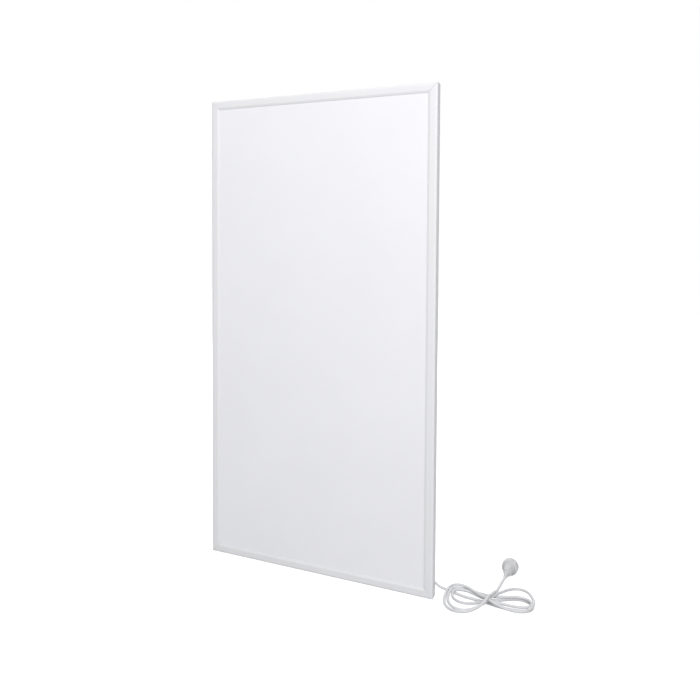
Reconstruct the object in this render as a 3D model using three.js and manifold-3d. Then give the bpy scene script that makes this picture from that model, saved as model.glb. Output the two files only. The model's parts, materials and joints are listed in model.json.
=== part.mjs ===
// Infrared panel heater: a white framed flat panel with a heating film behind its front sheet,
// a connection box and four wall hangers on its back, and a mains flex with an earthed plug.
// Millimetres, +Z up. The front faces -Y, and the origin is under the middle of the panel.
// The panel itself is laid out with y = 0 at the frame's front and y growing backwards.

import * as THREE from 'three';
import { mergeVertices } from 'three/addons/utils/BufferGeometryUtils.js';
import Module from 'manifold-3d';

const wasm = await Module();
wasm.setup();

// ---------------------------------------------------------------- driving dimensions

// Gaps between pieces.
const SEAT_GAP = 0.3;            // between a piece and what it is screwed or riveted to
const FIT_GAP = 0.3;             // around a screw, rivet, key or cable in its hole
const LAYER_GAP = 0.2;           // between the stacked sheets
const MITRE_GAP = 0.3;           // between two rails at a corner

// Frame.
const PANEL_WIDTH = 600;
const PANEL_HEIGHT = 1200;
const FRAME_DEPTH = 26;
const FACE_WIDTH = 22;           // rail face, from the outer edge to the sheet
const ROUND_WIDTH = 6;           // rounded outer edge, across the face
const ROUND_DEPTH = 3;           // rounded outer edge, front to back
const ROUND_STEPS = 5;
const BEVEL_WIDTH = 5;           // sloped inner edge of the face
const BEVEL_DEPTH = 1.8;
const FRONT_FLANGE = 2.4;        // thickness in front of the sheets
const CHANNEL_WIDTH = 12;        // closed box section along the outer edge
const RAIL_WALL = 1.5;
const BACK_FLANGE = 8;           // strip that holds the back plate, beyond the box section

// Corner keys and their screws.
const KEY_LEG = 45;
const KEY_SCREW_OFFSET = 30;     // from the panel's corner along each rail
const SCREW_SHANK = 3.6;
const SCREW_HEAD = 7;
const SCREW_HEAD_HEIGHT = 2.4;
const KEY_SCREW_LENGTH = 12;
const HEAD_RIM = 0.45;           // a screw head's straight rim, as a share of its height
const HEAD_CROWN = [0.36, 0.85]; // where its dome bends in, as shares of its width and height

// Sheets, front to back.
const FRONT_SHEET = 1;
const HEATING_FILM = 0.6;
const BUS_BAR = 0.3;
const FOIL = 0.4;
const BACK_PLATE = 0.8;
const BUS_BAR_WIDTH = 8;
const BUS_BAR_INSET = 10;        // from the film's edge to the bar
const BUS_BAR_RISE = 26;         // height of the bars' lower run above the sheets' edge

// Wall hangers.
const STANDOFF = 24;             // from the frame's back to the wall
const HANGER_INSET_X = 100;      // from the panel's side to a hanger's middle
const HANGER_INSET_Z = 150;      // from the panel's top or bottom edge to a hanger's middle
const HANGER_BRIDGE = 44;
const HANGER_FOOT = 14;
const HANGER_HEIGHT = 60;
const HANGER_SHEET = 1.5;
const KEYHOLE_ENTRY = 11;        // hole that a wall screw's head passes
const KEYHOLE_SLOT = 6;          // slot that its shank slides up
const KEYHOLE_TRAVEL = 18;
const RIVET_SHANK = 4;
const RIVET_HEAD = 8;
const RIVET_HEAD_HEIGHT = 1.4;
const RIVET_BULB = 6;
const RIVET_BULB_LENGTH = 3;
const RIVET_POCKET_ROOM = 2;     // in the insulation, around and in front of a rivet's bulb

// Connection box.
const BOX_X = 140;               // centre, seen from the front
const BOX_Z = 52;
const BOX_WIDTH = 100;
const BOX_HEIGHT = 60;
const BOX_DEPTH = 19.7;
const BOX_WALL = 2;
const BOX_CORNER = 4;
const LID_THICKNESS = 1.9;
const BOSS_DIAMETER = 8;
const BOSS_INSET = 8;            // from the box's outside to a boss or floor screw
const SMALL_SHANK = 3;
const SMALL_HEAD = 5.6;
const SMALL_HEAD_HEIGHT = 2;
const LID_SCREW_LENGTH = 10;
const FLOOR_SCREW_LENGTH = 6;
const SCREW_POCKET_ROOM = 1.5;   // in the insulation, around a floor screw
const FEED_HOLE = 16;            // wires pass through the box's floor
const FEED_HOLE_OFFSET = -30;    // from the box's centre
const EARTH_SCREW_X = 22;        // from the box's centre
const EARTH_SCREW_Z = 18;

// Terminal block, thermal cut-out and wires.
const TERMINAL_WIDTH = 16;
const TERMINAL_HEIGHT = 24;
const TERMINAL_DEPTH = 13;
const TERMINAL_X = 5;            // from the box's centre
const POLE_SPACING = 11;
const POLE_WELL = 5;
const POLE_WELL_DEPTH = 7;
const CUTOUT_WIDTH = 16;
const CUTOUT_HEIGHT = 10;
const CUTOUT_DEPTH = 6;
const CUTOUT_X = 10;             // from the feed hole's centre
const CUTOUT_Z = 10;
const WELL_WIDTH = 60;           // pocket through the insulation under the feed hole
const WELL_HEIGHT = 44;
const BAR_TAB = 12;              // from the feed hole's centre to each bus bar's wire
const WIRE_DIAMETER = 2.4;
const WIRE_SIDES = 8;
const WIRE_STUB = 3;             // straight stretch at a wire's end
const CORE_SPREAD = 1.6;         // from the sheath's middle to a core's middle
const SUPPLY_STUB = 14;          // straight stretch from the terminal block towards the feed hole
const LUG_RISE = 6;              // below the earth screw, where its wire comes down
const FOIL_HOLE = 6.4;           // for a wire to a bus bar

// Cable entry.
const CABLE_DIAMETER = 6.4;
const CABLE_SIDES = 12;
const CABLE_BORE = 7;
const GLAND_NECK = 11.4;
const GLAND_COLLAR = 16;
const GLAND_INSIDE = 2.5;        // collar inside the box's wall
const GLAND_OUTSIDE = 5.7;
const BOOT_LENGTH = 33.7;
const BOOT_WIDE = 13;
const BOOT_NARROW = 9;
const CABLE_INSIDE_BOX = 18;     // from the box's outside to the end of the sheath

// Plug, along its own axis: the pins stand beyond the head, the cable leaves the sleeve.
const PLUG_X = 444.5;
const PLUG_Y = 201;
const PLUG_TURN = 3;             // degrees, from straight back
const PLUG_ROLL = 35;            // degrees, about its own axis
const PLUG_HEAD = 39;
const PLUG_HEAD_LENGTH = 18;
const PLUG_EDGE = 2;             // rounding of the head's rims
const GRIP_WIDE = 33;
const GRIP_NARROW = 20;
const GRIP_LENGTH = 28;
const SLEEVE_WIDE = 13;
const SLEEVE_NARROW = 8.4;
const SLEEVE_LENGTH = 26;
const PIN_DIAMETER = 4.8;
const PIN_LENGTH = 19;
const PIN_SPACING = 19;
const PIN_ROOT = 6;              // length inside the head
const NOTCH_WIDTH = 5.4;
const NOTCH_DEPTH = 3;
const STRAP_WIDTH = 7;
const STRAP_SHEET = 1;
const STRAP_BRIDGE_INSET = 5;    // strap's cross piece, behind the head's face

// Free cable. The points were placed by hand along the cable's middle, from the boot to the
// loops and from the loops to the plug.
const LEAD_POINTS = [
  [230.3, 35.5, 52], [240, 35.5, 51.8], [252, 35.5, 49.6], [268, 35.6, 42.8], [284, 35.7, 33.3],
  [300, 36, 23.6], [310, 36.2, 17.6], [319.2, 36.6, 12.6],
];
const TAIL_POINTS = [
  [429.8, 84.5, 8.2], [429.2, 90, 6.2], [429.2, 97, 4.4], [429.9, 104, 3.5], [431.4, 112, 4.4],
  [433.7, 120, 7.6], [436.7, 128.5, 12.6], [439.6, 137, 17.2], [441.2, 142.8, 19.3], [441.6, 146.6, 19.5],
];
// Outline of the loose figure of eight that the rest of the cable lies in, seen from above.
const HANK_OUTLINE = [
  [321.5, 36], [324, 54], [334, 66], [352, 70], [382, 73], [412, 80], [430, 80.5], [439, 102],
  [450, 124], [466, 133], [482, 135], [497, 129], [511, 111], [521, 86], [524.5, 58], [521, 32],
  [511, 14], [497, 5], [480, 2], [459, 2], [439, 2], [421, -15], [402, -36], [384, -45],
  [364, -48.5], [345, -45], [332, -35], [324, -16], [321, 10],
];
const HANK_HEIGHT = 34;
const HANK_STEPS = 60;

// ---------------------------------------------------------------- derived places

const OVERALL_DEPTH = FRAME_DEPTH + STANDOFF;
const SHEET_EDGE = CHANNEL_WIDTH + FIT_GAP;
const SHEET_WIDTH = PANEL_WIDTH - 2 * SHEET_EDGE;
const SHEET_HEIGHT = PANEL_HEIGHT - 2 * SHEET_EDGE;
const FRONT_SHEET_Y = FRONT_FLANGE + LAYER_GAP;
const FILM_Y = FRONT_SHEET_Y + FRONT_SHEET + LAYER_GAP;
const BUS_BAR_Y = FILM_Y + HEATING_FILM + LAYER_GAP;
const FOIL_Y = BUS_BAR_Y + BUS_BAR + LAYER_GAP;
const BOARD_Y = FOIL_Y + FOIL + LAYER_GAP;
const PLATE_Y = FRAME_DEPTH - RAIL_WALL - LAYER_GAP - BACK_PLATE;
const BOARD_DEPTH = PLATE_Y - LAYER_GAP - BOARD_Y;
const SEAT_Y = PLATE_Y + BACK_PLATE + SEAT_GAP;   // where hangers and box stand on the plate
const WALL_Y = OVERALL_DEPTH;

const FEED_X = BOX_X + FEED_HOLE_OFFSET;
const FEED_Z = BOX_Z;
const FLOOR_Y = SEAT_Y + BOX_WALL;
const LID_Y = SEAT_Y + BOX_DEPTH + SEAT_GAP;
const BAR_WIRE_Z = SHEET_EDGE + BUS_BAR_RISE;     // middle of the bars' lower run
const BOX_SIDE = BOX_X + BOX_WIDTH / 2;
const CABLE_Y = SEAT_Y + BOX_WALL + (BOX_DEPTH - BOX_WALL) / 2;
const GLAND_END = BOX_SIDE + GLAND_OUTSIDE + SEAT_GAP;
const BOOT_START = GLAND_END + SEAT_GAP;
const BOOT_END = BOOT_START + BOOT_LENGTH;
const LID_BOSSES = [[-1, 1], [1, -1]].map(([sideX, sideZ]) => [
  BOX_X + sideX * (BOX_WIDTH / 2 - BOSS_INSET),
  BOX_Z + sideZ * (BOX_HEIGHT / 2 - BOSS_INSET),
]);
const FLOOR_SCREWS = [[-1, -1], [1, 1]].map(([sideX, sideZ]) => [
  BOX_X + sideX * (BOX_WIDTH / 2 - BOSS_INSET),
  BOX_Z + sideZ * (BOX_HEIGHT / 2 - BOSS_INSET),
]);
const EARTH_SCREW = [BOX_X + EARTH_SCREW_X, BOX_Z + EARTH_SCREW_Z];
const HANGERS = [
  ['top_left', -1, 1], ['top_right', 1, 1], ['bottom_left', -1, -1], ['bottom_right', 1, -1],
].map(([corner, sideX, sideZ]) => ({
  corner,
  x: sideX * (PANEL_WIDTH / 2 - HANGER_INSET_X),
  z: PANEL_HEIGHT / 2 + sideZ * (PANEL_HEIGHT / 2 - HANGER_INSET_Z),
}));
const RIVET_X = HANGER_BRIDGE / 2 + HANGER_FOOT / 2;   // from a hanger's middle
const RIVETS = HANGERS.flatMap(({ x, z }) => [[x - RIVET_X, z], [x + RIVET_X, z]]);
// Rails and keys go round the panel anticlockwise, seen from the front: each is laid out
// from its own corner and turned about the depth axis.
const CORNERS = [
  { name: 'bottom_right', rail: 'frame_bottom', x: PANEL_WIDTH / 2, z: 0, length: PANEL_WIDTH },
  { name: 'bottom_left', rail: 'frame_left', x: -PANEL_WIDTH / 2, z: 0, length: PANEL_HEIGHT },
  { name: 'top_left', rail: 'frame_top', x: -PANEL_WIDTH / 2, z: PANEL_HEIGHT, length: PANEL_WIDTH },
  { name: 'top_right', rail: 'frame_right', x: PANEL_WIDTH / 2, z: PANEL_HEIGHT, length: PANEL_HEIGHT },
];

// ---------------------------------------------------------------- materials

const finish = (color, roughness, metalness = 0) =>
  new THREE.MeshStandardMaterial({ color, roughness, metalness });
const FRAME_PAINT = finish(0xf3f4f6, 0.4);
const SHEET_PAINT = finish(0xf1f2f7, 0.5);
const PLATE_PAINT = finish(0xe9eaec, 0.5);
const ZINC = finish(0xb9bdc2, 0.35, 1);
const ALUMINIUM = finish(0xd9dbdd, 0.3, 1);
const COPPER = finish(0xb87a4b, 0.3, 1);
const BRASS = finish(0xc9a85c, 0.3, 1);
const FILM = finish(0x2b2b2e, 0.6);
const WOOL = finish(0xc9b877, 0.95);
const WHITE_PLASTIC = finish(0xeceded, 0.45);
const KEY_PLASTIC = finish(0x8d9196, 0.6);
const CABLE_SHEATH = finish(0xe4e5e8, 0.5);
const WIRE_BROWN = finish(0x6b4127, 0.5);
const WIRE_BLUE = finish(0x3c6fae, 0.5);
const WIRE_GREEN = finish(0x6f9c3a, 0.5);

// ---------------------------------------------------------------- geometry helpers

/** Turns a closed geometry into a solid that can be cut or joined. */
function toSolid(geometry) {
  const bare = geometry.clone();
  bare.deleteAttribute('normal');
  bare.deleteAttribute('uv');
  const merged = mergeVertices(bare, 1e-4);
  return new wasm.Manifold(new wasm.Mesh({
    numProp: 3,
    vertProperties: new Float32Array(merged.attributes.position.array),
    triVerts: new Uint32Array(merged.index.array),
  }));
}

/** Turns a solid back into a geometry. */
function toGeometry(solid) {
  const mesh = solid.getMesh();
  const geometry = new THREE.BufferGeometry();
  geometry.setAttribute('position', new THREE.BufferAttribute(mesh.vertProperties, 3));
  geometry.setIndex(new THREE.BufferAttribute(mesh.triVerts, 1));
  return geometry;
}

/** Cuts every tool out of a body. */
function cut(body, tools) {
  const solid = tools.reduce((rest, tool) => rest.subtract(toSolid(tool)), toSolid(body));
  return toGeometry(solid);
}

/** Joins overlapping geometries into one body. */
function join(...pieces) {
  return toGeometry(pieces.slice(1).reduce((sum, piece) => sum.add(toSolid(piece)), toSolid(pieces[0])));
}

/** A shape drawn in the XZ plane as seen from the front, made `depth` thick towards +Y from 0. */
function slab(shape, depth) {
  const geometry = new THREE.ExtrudeGeometry(shape, { depth, bevelEnabled: false, curveSegments: 6 });
  return geometry.rotateX(Math.PI / 2).translate(0, depth, 0);
}

/** A box centred on `x` and `z`, with its front face at `y`. */
function block(width, depth, height, x, y, z) {
  return new THREE.BoxGeometry(width, depth, height).translate(x, y + depth / 2, z);
}

/** A rectangle with round corners about a centre, in the XZ plane. */
function roundedRectangle(width, height, radius, x = 0, z = 0) {
  const [left, right, low, high] = [x - width / 2, x + width / 2, z - height / 2, z + height / 2];
  const shape = new THREE.Shape();
  shape.moveTo(left + radius, low);
  shape.lineTo(right - radius, low);
  shape.absarc(right - radius, low + radius, radius, -Math.PI / 2, 0);
  shape.absarc(right - radius, high - radius, radius, 0, Math.PI / 2);
  shape.absarc(left + radius, high - radius, radius, Math.PI / 2, Math.PI);
  shape.absarc(left + radius, low + radius, radius, Math.PI, Math.PI * 1.5);
  return shape;
}

/** A solid turned about the Y axis from [radius, y] pairs that start and end on the axis. */
function turned(profile, segments = 20) {
  return new THREE.LatheGeometry(profile.map(([radius, y]) => new THREE.Vector2(radius, y)), segments);
}

/** A round hole's tool along Y, from y = `start` to `end`, about (x, z). */
function drill(diameter, start, end, x = 0, z = 0) {
  const tool = new THREE.CylinderGeometry(diameter / 2, diameter / 2, end - start, 20);
  return tool.translate(x, (start + end) / 2, z);
}

/** A round bar of `sides` sides that follows a smooth curve through points. */
function tube(points, diameter, sides, steps) {
  const places = points.map((point) => new THREE.Vector3(...point));
  const curve = new THREE.CatmullRomCurve3(places, false, 'centripetal');
  const section = new THREE.Shape();
  for (let side = 0; side < sides; side += 1) {
    const angle = (2 * Math.PI * side) / sides;
    section[side ? 'lineTo' : 'moveTo'](
      (diameter / 2) * Math.cos(angle), (diameter / 2) * Math.sin(angle));
  }
  return new THREE.ExtrudeGeometry(section, { steps, bevelEnabled: false, extrudePath: curve });
}

/** A pan-head screw along Y: its head's underside at y = `seat`, its shank towards -Y. */
function panScrew(shank, length, head, headHeight, seat = 0) {
  return turned([
    [0, seat - length], [shank / 2, seat - length], [shank / 2, seat], [head / 2, seat],
    [head / 2, seat + headHeight * HEAD_RIM],
    [head * HEAD_CROWN[0], seat + headHeight * HEAD_CROWN[1]],
    [0, seat + headHeight],
  ]);
}

/** A named mesh at a place. */
function part(name, geometry, material, x = 0, y = 0, z = 0) {
  const mesh = new THREE.Mesh(geometry, material);
  mesh.name = name;
  mesh.position.set(x, y, z);
  return mesh;
}

/** A group that stands at one of the panel's corners, turned so that its rail runs along -X. */
function cornerGroup(index, ...meshes) {
  const group = new THREE.Group();
  group.position.set(CORNERS[index].x, 0, CORNERS[index].z);
  group.rotation.y = (index * Math.PI) / 2;
  group.add(...meshes);
  return group;
}

// ---------------------------------------------------------------- frame

/** A rail's section: u runs inwards from the panel's edge, v backwards from its front. */
function railSection() {
  const section = new THREE.Shape();
  section.moveTo(0, FRAME_DEPTH);
  section.lineTo(0, ROUND_DEPTH);
  for (let step = 1; step <= ROUND_STEPS; step += 1) {
    const angle = (step / ROUND_STEPS) * (Math.PI / 2);
    section.lineTo(ROUND_WIDTH * (1 - Math.cos(angle)), ROUND_DEPTH * (1 - Math.sin(angle)));
  }
  section.lineTo(FACE_WIDTH - BEVEL_WIDTH, 0);
  section.lineTo(FACE_WIDTH, BEVEL_DEPTH);
  section.lineTo(FACE_WIDTH, FRONT_FLANGE);
  section.lineTo(CHANNEL_WIDTH, FRONT_FLANGE);
  section.lineTo(CHANNEL_WIDTH, FRAME_DEPTH - RAIL_WALL);
  section.lineTo(CHANNEL_WIDTH + BACK_FLANGE, FRAME_DEPTH - RAIL_WALL);
  section.lineTo(CHANNEL_WIDTH + BACK_FLANGE, FRAME_DEPTH);
  const hollow = new THREE.Path();
  hollow.moveTo(RAIL_WALL, FRONT_FLANGE);
  hollow.lineTo(CHANNEL_WIDTH - RAIL_WALL, FRONT_FLANGE);
  hollow.lineTo(CHANNEL_WIDTH - RAIL_WALL, FRAME_DEPTH - RAIL_WALL);
  hollow.lineTo(RAIL_WALL, FRAME_DEPTH - RAIL_WALL);
  section.holes.push(hollow);
  return section;
}

/** A rail from its corner along -X, mitred at both ends, with a screw hole near each. */
function rail(length) {
  const bar = new THREE.ExtrudeGeometry(railSection(), { depth: length, bevelEnabled: false });
  const setBack = MITRE_GAP / Math.SQRT2;
  const place = bar.attributes.position;
  for (let index = 0; index < place.count; index += 1) {
    const mitre = place.getX(index) + setBack;
    place.setZ(index, place.getZ(index) < length / 2 ? mitre : length - mitre);
  }
  bar.rotateY(-Math.PI / 2);
  const bore = SCREW_SHANK + 2 * FIT_GAP;
  const holes = [KEY_SCREW_OFFSET, length - KEY_SCREW_OFFSET].map((along) =>
    drill(bore, FRAME_DEPTH - 2 * RAIL_WALL, FRAME_DEPTH + 1, -along, CHANNEL_WIDTH / 2));
  return cut(bar, holes);
}

/** An L-shaped key inside two rails, from its corner along -X and +Z. */
function cornerKey() {
  const near = RAIL_WALL + FIT_GAP;
  const far = CHANNEL_WIDTH - RAIL_WALL - FIT_GAP;
  const end = near + KEY_LEG;
  const outline = new THREE.Shape([
    [near, near], [end, near], [end, far], [far, far], [far, end], [near, end],
  ].map(([across, up]) => new THREE.Vector2(-across, up)));
  const front = FRONT_FLANGE + FIT_GAP;
  const back = FRAME_DEPTH - RAIL_WALL - FIT_GAP;
  const body = slab(outline, back - front).translate(0, front, 0);
  const hole = SCREW_SHANK + 2 * FIT_GAP;
  return cut(body, [
    drill(hole, front - 1, back + 1, -KEY_SCREW_OFFSET, CHANNEL_WIDTH / 2),
    drill(hole, front - 1, back + 1, -CHANNEL_WIDTH / 2, KEY_SCREW_OFFSET),
  ]);
}

/** Rails, keys and key screws. */
function frame() {
  const group = new THREE.Group();
  CORNERS.forEach(({ name, rail: railName, length }, index) => {
    const screw = () => panScrew(
      SCREW_SHANK, KEY_SCREW_LENGTH, SCREW_HEAD, SCREW_HEAD_HEIGHT, FRAME_DEPTH + SEAT_GAP);
    group.add(cornerGroup(index,
      part(railName, rail(length), FRAME_PAINT),
      part(`corner_key_${name}`, cornerKey(), KEY_PLASTIC),
      part(`corner_screw_${name}_1`, screw(), ZINC, -KEY_SCREW_OFFSET, 0, CHANNEL_WIDTH / 2),
      part(`corner_screw_${name}_2`, screw(), ZINC, -CHANNEL_WIDTH / 2, 0, KEY_SCREW_OFFSET)));
  });
  return group;
}

// ---------------------------------------------------------------- sheets

/** One full sheet of the stack. */
function sheet(thickness, y) {
  return block(SHEET_WIDTH, thickness, SHEET_HEIGHT, 0, y, PANEL_HEIGHT / 2);
}

/** A copper bar down one side of the film and along its foot to the wires. */
function busBar(side) {
  const outer = SHEET_WIDTH / 2 - BUS_BAR_INSET;
  const inner = outer - BUS_BAR_WIDTH;
  const foot = SHEET_EDGE + BUS_BAR_RISE - BUS_BAR_WIDTH / 2;
  const top = PANEL_HEIGHT - SHEET_EDGE - BUS_BAR_INSET;
  const end = FEED_X + side * (BAR_TAB - BUS_BAR_WIDTH / 2);
  const outline = new THREE.Shape([
    [end, foot], [side * outer, foot], [side * outer, top], [side * inner, top],
    [side * inner, foot + BUS_BAR_WIDTH], [end, foot + BUS_BAR_WIDTH],
  ].map(([x, z]) => new THREE.Vector2(x, z)));
  return slab(outline, BUS_BAR).translate(0, BUS_BAR_Y, 0);
}

/** Foil behind the bars, with a hole for each bar's wire. */
function foil() {
  return cut(sheet(FOIL, FOIL_Y), [-1, 1].map((side) =>
    drill(FOIL_HOLE, FOIL_Y - 1, FOIL_Y + FOIL + 1, FEED_X + side * BAR_TAB, BAR_WIRE_Z)));
}

/** Insulation, with pockets for the wires and for what comes through the back plate. */
function insulation() {
  const end = BOARD_Y + BOARD_DEPTH + 1;
  const pocket = (diameter, depth) => ([x, z]) => drill(diameter, end - 1 - depth, end, x, z);
  const well = block(WELL_WIDTH, BOARD_DEPTH + 2, WELL_HEIGHT, FEED_X, BOARD_Y - 1, FEED_Z);
  return cut(sheet(BOARD_DEPTH, BOARD_Y), [
    well,
    ...RIVETS.map(pocket(
      RIVET_BULB + 2 * RIVET_POCKET_ROOM, RIVET_BULB_LENGTH + RIVET_POCKET_ROOM + SEAT_GAP)),
    ...[...FLOOR_SCREWS, EARTH_SCREW].map(pocket(SMALL_SHANK + 2 * SCREW_POCKET_ROOM, FLOOR_SCREW_LENGTH)),
  ]);
}

/** Painted steel back plate. */
function backPlate() {
  const bore = (diameter) => ([x, z]) => drill(diameter, PLATE_Y - 1, SEAT_Y + 1, x, z);
  return cut(sheet(BACK_PLATE, PLATE_Y), [
    bore(FEED_HOLE)([FEED_X, FEED_Z]),
    ...RIVETS.map(bore(RIVET_SHANK + 2 * FIT_GAP)),
    ...[...FLOOR_SCREWS, EARTH_SCREW].map(bore(SMALL_SHANK + 2 * FIT_GAP)),
  ]);
}

/** The stack between the frame's flanges. */
function sheets() {
  const group = new THREE.Group();
  group.add(
    part('front_sheet', sheet(FRONT_SHEET, FRONT_SHEET_Y), SHEET_PAINT),
    part('heating_film', sheet(HEATING_FILM, FILM_Y), FILM),
    part('bus_bar_left', busBar(-1), COPPER),
    part('bus_bar_right', busBar(1), COPPER),
    part('reflector_foil', foil(), ALUMINIUM),
    part('insulation_board', insulation(), WOOL),
    part('back_plate', backPlate(), PLATE_PAINT));
  return group;
}

// ---------------------------------------------------------------- wall hangers

/** Hat-shaped bracket with a keyhole, about its own middle. */
function hanger() {
  const bridge = HANGER_BRIDGE / 2;
  const outer = bridge + HANGER_FOOT;
  const wall = HANGER_SHEET;
  const outline = new THREE.Shape([
    [-outer, SEAT_Y], [-bridge + wall, SEAT_Y], [-bridge + wall, WALL_Y - wall],
    [bridge - wall, WALL_Y - wall], [bridge - wall, SEAT_Y], [outer, SEAT_Y],
    [outer, SEAT_Y + wall], [bridge, SEAT_Y + wall], [bridge, WALL_Y], [-bridge, WALL_Y],
    [-bridge, SEAT_Y + wall], [-outer, SEAT_Y + wall],
  ].map(([x, y]) => new THREE.Vector2(x, y)));
  const body = new THREE.ExtrudeGeometry(outline, { depth: HANGER_HEIGHT, bevelEnabled: false })
    .translate(0, 0, -HANGER_HEIGHT / 2);
  const [from, to] = [WALL_Y - wall - 1, WALL_Y + 1];
  const travel = KEYHOLE_TRAVEL / 2;
  const rivetHole = RIVET_SHANK + 2 * FIT_GAP;
  return cut(body, [
    drill(KEYHOLE_ENTRY, from, to, 0, -travel),
    drill(KEYHOLE_SLOT, from, to, 0, travel),
    block(KEYHOLE_SLOT, to - from, KEYHOLE_TRAVEL, 0, from, 0),
    drill(rivetHole, SEAT_Y - 1, SEAT_Y + wall + 1, -RIVET_X, 0),
    drill(rivetHole, SEAT_Y - 1, SEAT_Y + wall + 1, RIVET_X, 0),
  ]);
}

/** Blind rivet through a hanger's foot and the back plate, set bulb inside. */
function rivet() {
  const seat = SEAT_Y + HANGER_SHEET + SEAT_GAP;
  const bulbBack = PLATE_Y - SEAT_GAP;
  const bulbFront = bulbBack - RIVET_BULB_LENGTH;
  return turned([
    [0, bulbFront], [RIVET_BULB * 0.3, bulbFront], [RIVET_BULB / 2, (bulbFront + bulbBack) / 2],
    [RIVET_SHANK / 2, bulbBack], [RIVET_SHANK / 2, seat], [RIVET_HEAD / 2, seat],
    [RIVET_HEAD * 0.34, seat + RIVET_HEAD_HEIGHT * 0.8], [0, seat + RIVET_HEAD_HEIGHT],
  ], 16);
}

/** Four hangers with two rivets each. */
function hangers() {
  const group = new THREE.Group();
  HANGERS.forEach(({ corner, x, z }) => group.add(
    part(`wall_hanger_${corner}`, hanger(), ZINC, x, 0, z),
    part(`hanger_rivet_${corner}_left`, rivet(), ALUMINIUM, x - RIVET_X, 0, z),
    part(`hanger_rivet_${corner}_right`, rivet(), ALUMINIUM, x + RIVET_X, 0, z)));
  return group;
}

// ---------------------------------------------------------------- connection box

/** Open box with two screw bosses. */
function junctionBox() {
  const depth = BOX_DEPTH;
  const shell = cut(
    slab(roundedRectangle(BOX_WIDTH, BOX_HEIGHT, BOX_CORNER), depth),
    [slab(roundedRectangle(BOX_WIDTH - 2 * BOX_WALL, BOX_HEIGHT - 2 * BOX_WALL, BOX_CORNER - BOX_WALL), depth)
      .translate(0, BOX_WALL, 0)])
    .translate(BOX_X, SEAT_Y, BOX_Z);
  const bosses = LID_BOSSES.map(([x, z]) => drill(BOSS_DIAMETER, FLOOR_Y - 1, SEAT_Y + depth, x, z));
  const floorHole = (diameter) => ([x, z]) => drill(diameter, SEAT_Y - 1, FLOOR_Y + 1, x, z);
  const bore = GLAND_NECK / 2 + FIT_GAP;
  const side = new THREE.CylinderGeometry(bore, bore, 3 * BOX_WALL, 20)
    .rotateZ(Math.PI / 2).translate(BOX_SIDE - BOX_WALL / 2, CABLE_Y, BOX_Z);
  return cut(join(shell, ...bosses), [
    side,
    floorHole(FEED_HOLE)([FEED_X, FEED_Z]),
    ...[...FLOOR_SCREWS, EARTH_SCREW].map(floorHole(SMALL_SHANK + 2 * FIT_GAP)),
    ...LID_BOSSES.map(([x, z]) => drill(SMALL_SHANK + 2 * FIT_GAP, FLOOR_Y + 1, LID_Y, x, z)),
  ]);
}

/** Flat lid with two screw holes. */
function junctionLid() {
  const plate = slab(roundedRectangle(BOX_WIDTH, BOX_HEIGHT, BOX_CORNER, BOX_X, BOX_Z), LID_THICKNESS)
    .translate(0, LID_Y, 0);
  return cut(plate, LID_BOSSES.map(([x, z]) =>
    drill(SMALL_SHANK + 2 * FIT_GAP, LID_Y - 1, LID_Y + LID_THICKNESS + 1, x, z)));
}

/** Two-pole terminal block with a screw well over each pole. */
function terminalBlock() {
  const front = FLOOR_Y + SEAT_GAP;
  const x = BOX_X + TERMINAL_X;
  const back = front + TERMINAL_DEPTH;
  return cut(block(TERMINAL_WIDTH, TERMINAL_DEPTH, TERMINAL_HEIGHT, x, front, BOX_Z),
    [-1, 1].map((pole) =>
      drill(POLE_WELL, back - POLE_WELL_DEPTH, back + 1, x, BOX_Z + (pole * POLE_SPACING) / 2)));
}

/** Snap-in gland whose neck sits in the box's wall, turned about the cable. */
function gland() {
  const bore = CABLE_BORE / 2;
  const neckStart = BOX_SIDE - BOX_WALL - SEAT_GAP;
  const neckEnd = BOX_SIDE + SEAT_GAP;
  return aboutCable([
    [bore, neckStart - GLAND_INSIDE], [GLAND_COLLAR / 2 - 1, neckStart - GLAND_INSIDE],
    [GLAND_COLLAR / 2 - 0.5, neckStart], [GLAND_NECK / 2, neckStart], [GLAND_NECK / 2, neckEnd],
    [GLAND_COLLAR / 2, neckEnd], [GLAND_COLLAR / 2, GLAND_END - 1], [GLAND_COLLAR / 2 - 1, GLAND_END],
    [bore, GLAND_END], [bore, neckStart - GLAND_INSIDE],
  ]);
}

/** Tapered strain relief beyond the gland. */
function boot() {
  const bore = CABLE_BORE / 2;
  const start = BOOT_START;
  return aboutCable([
    [bore, start], [BOOT_WIDE / 2, start], [BOOT_WIDE / 2, start + 3],
    [BOOT_NARROW / 2, BOOT_END - 1], [BOOT_NARROW / 2 - 0.5, BOOT_END], [bore, BOOT_END], [bore, start],
  ]);
}

/** Turns a profile of [radius, x] about the cable's line beside the box. */
function aboutCable(profile) {
  return turned(profile, 24).rotateZ(-Math.PI / 2).translate(0, CABLE_Y, BOX_Z);
}

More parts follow.
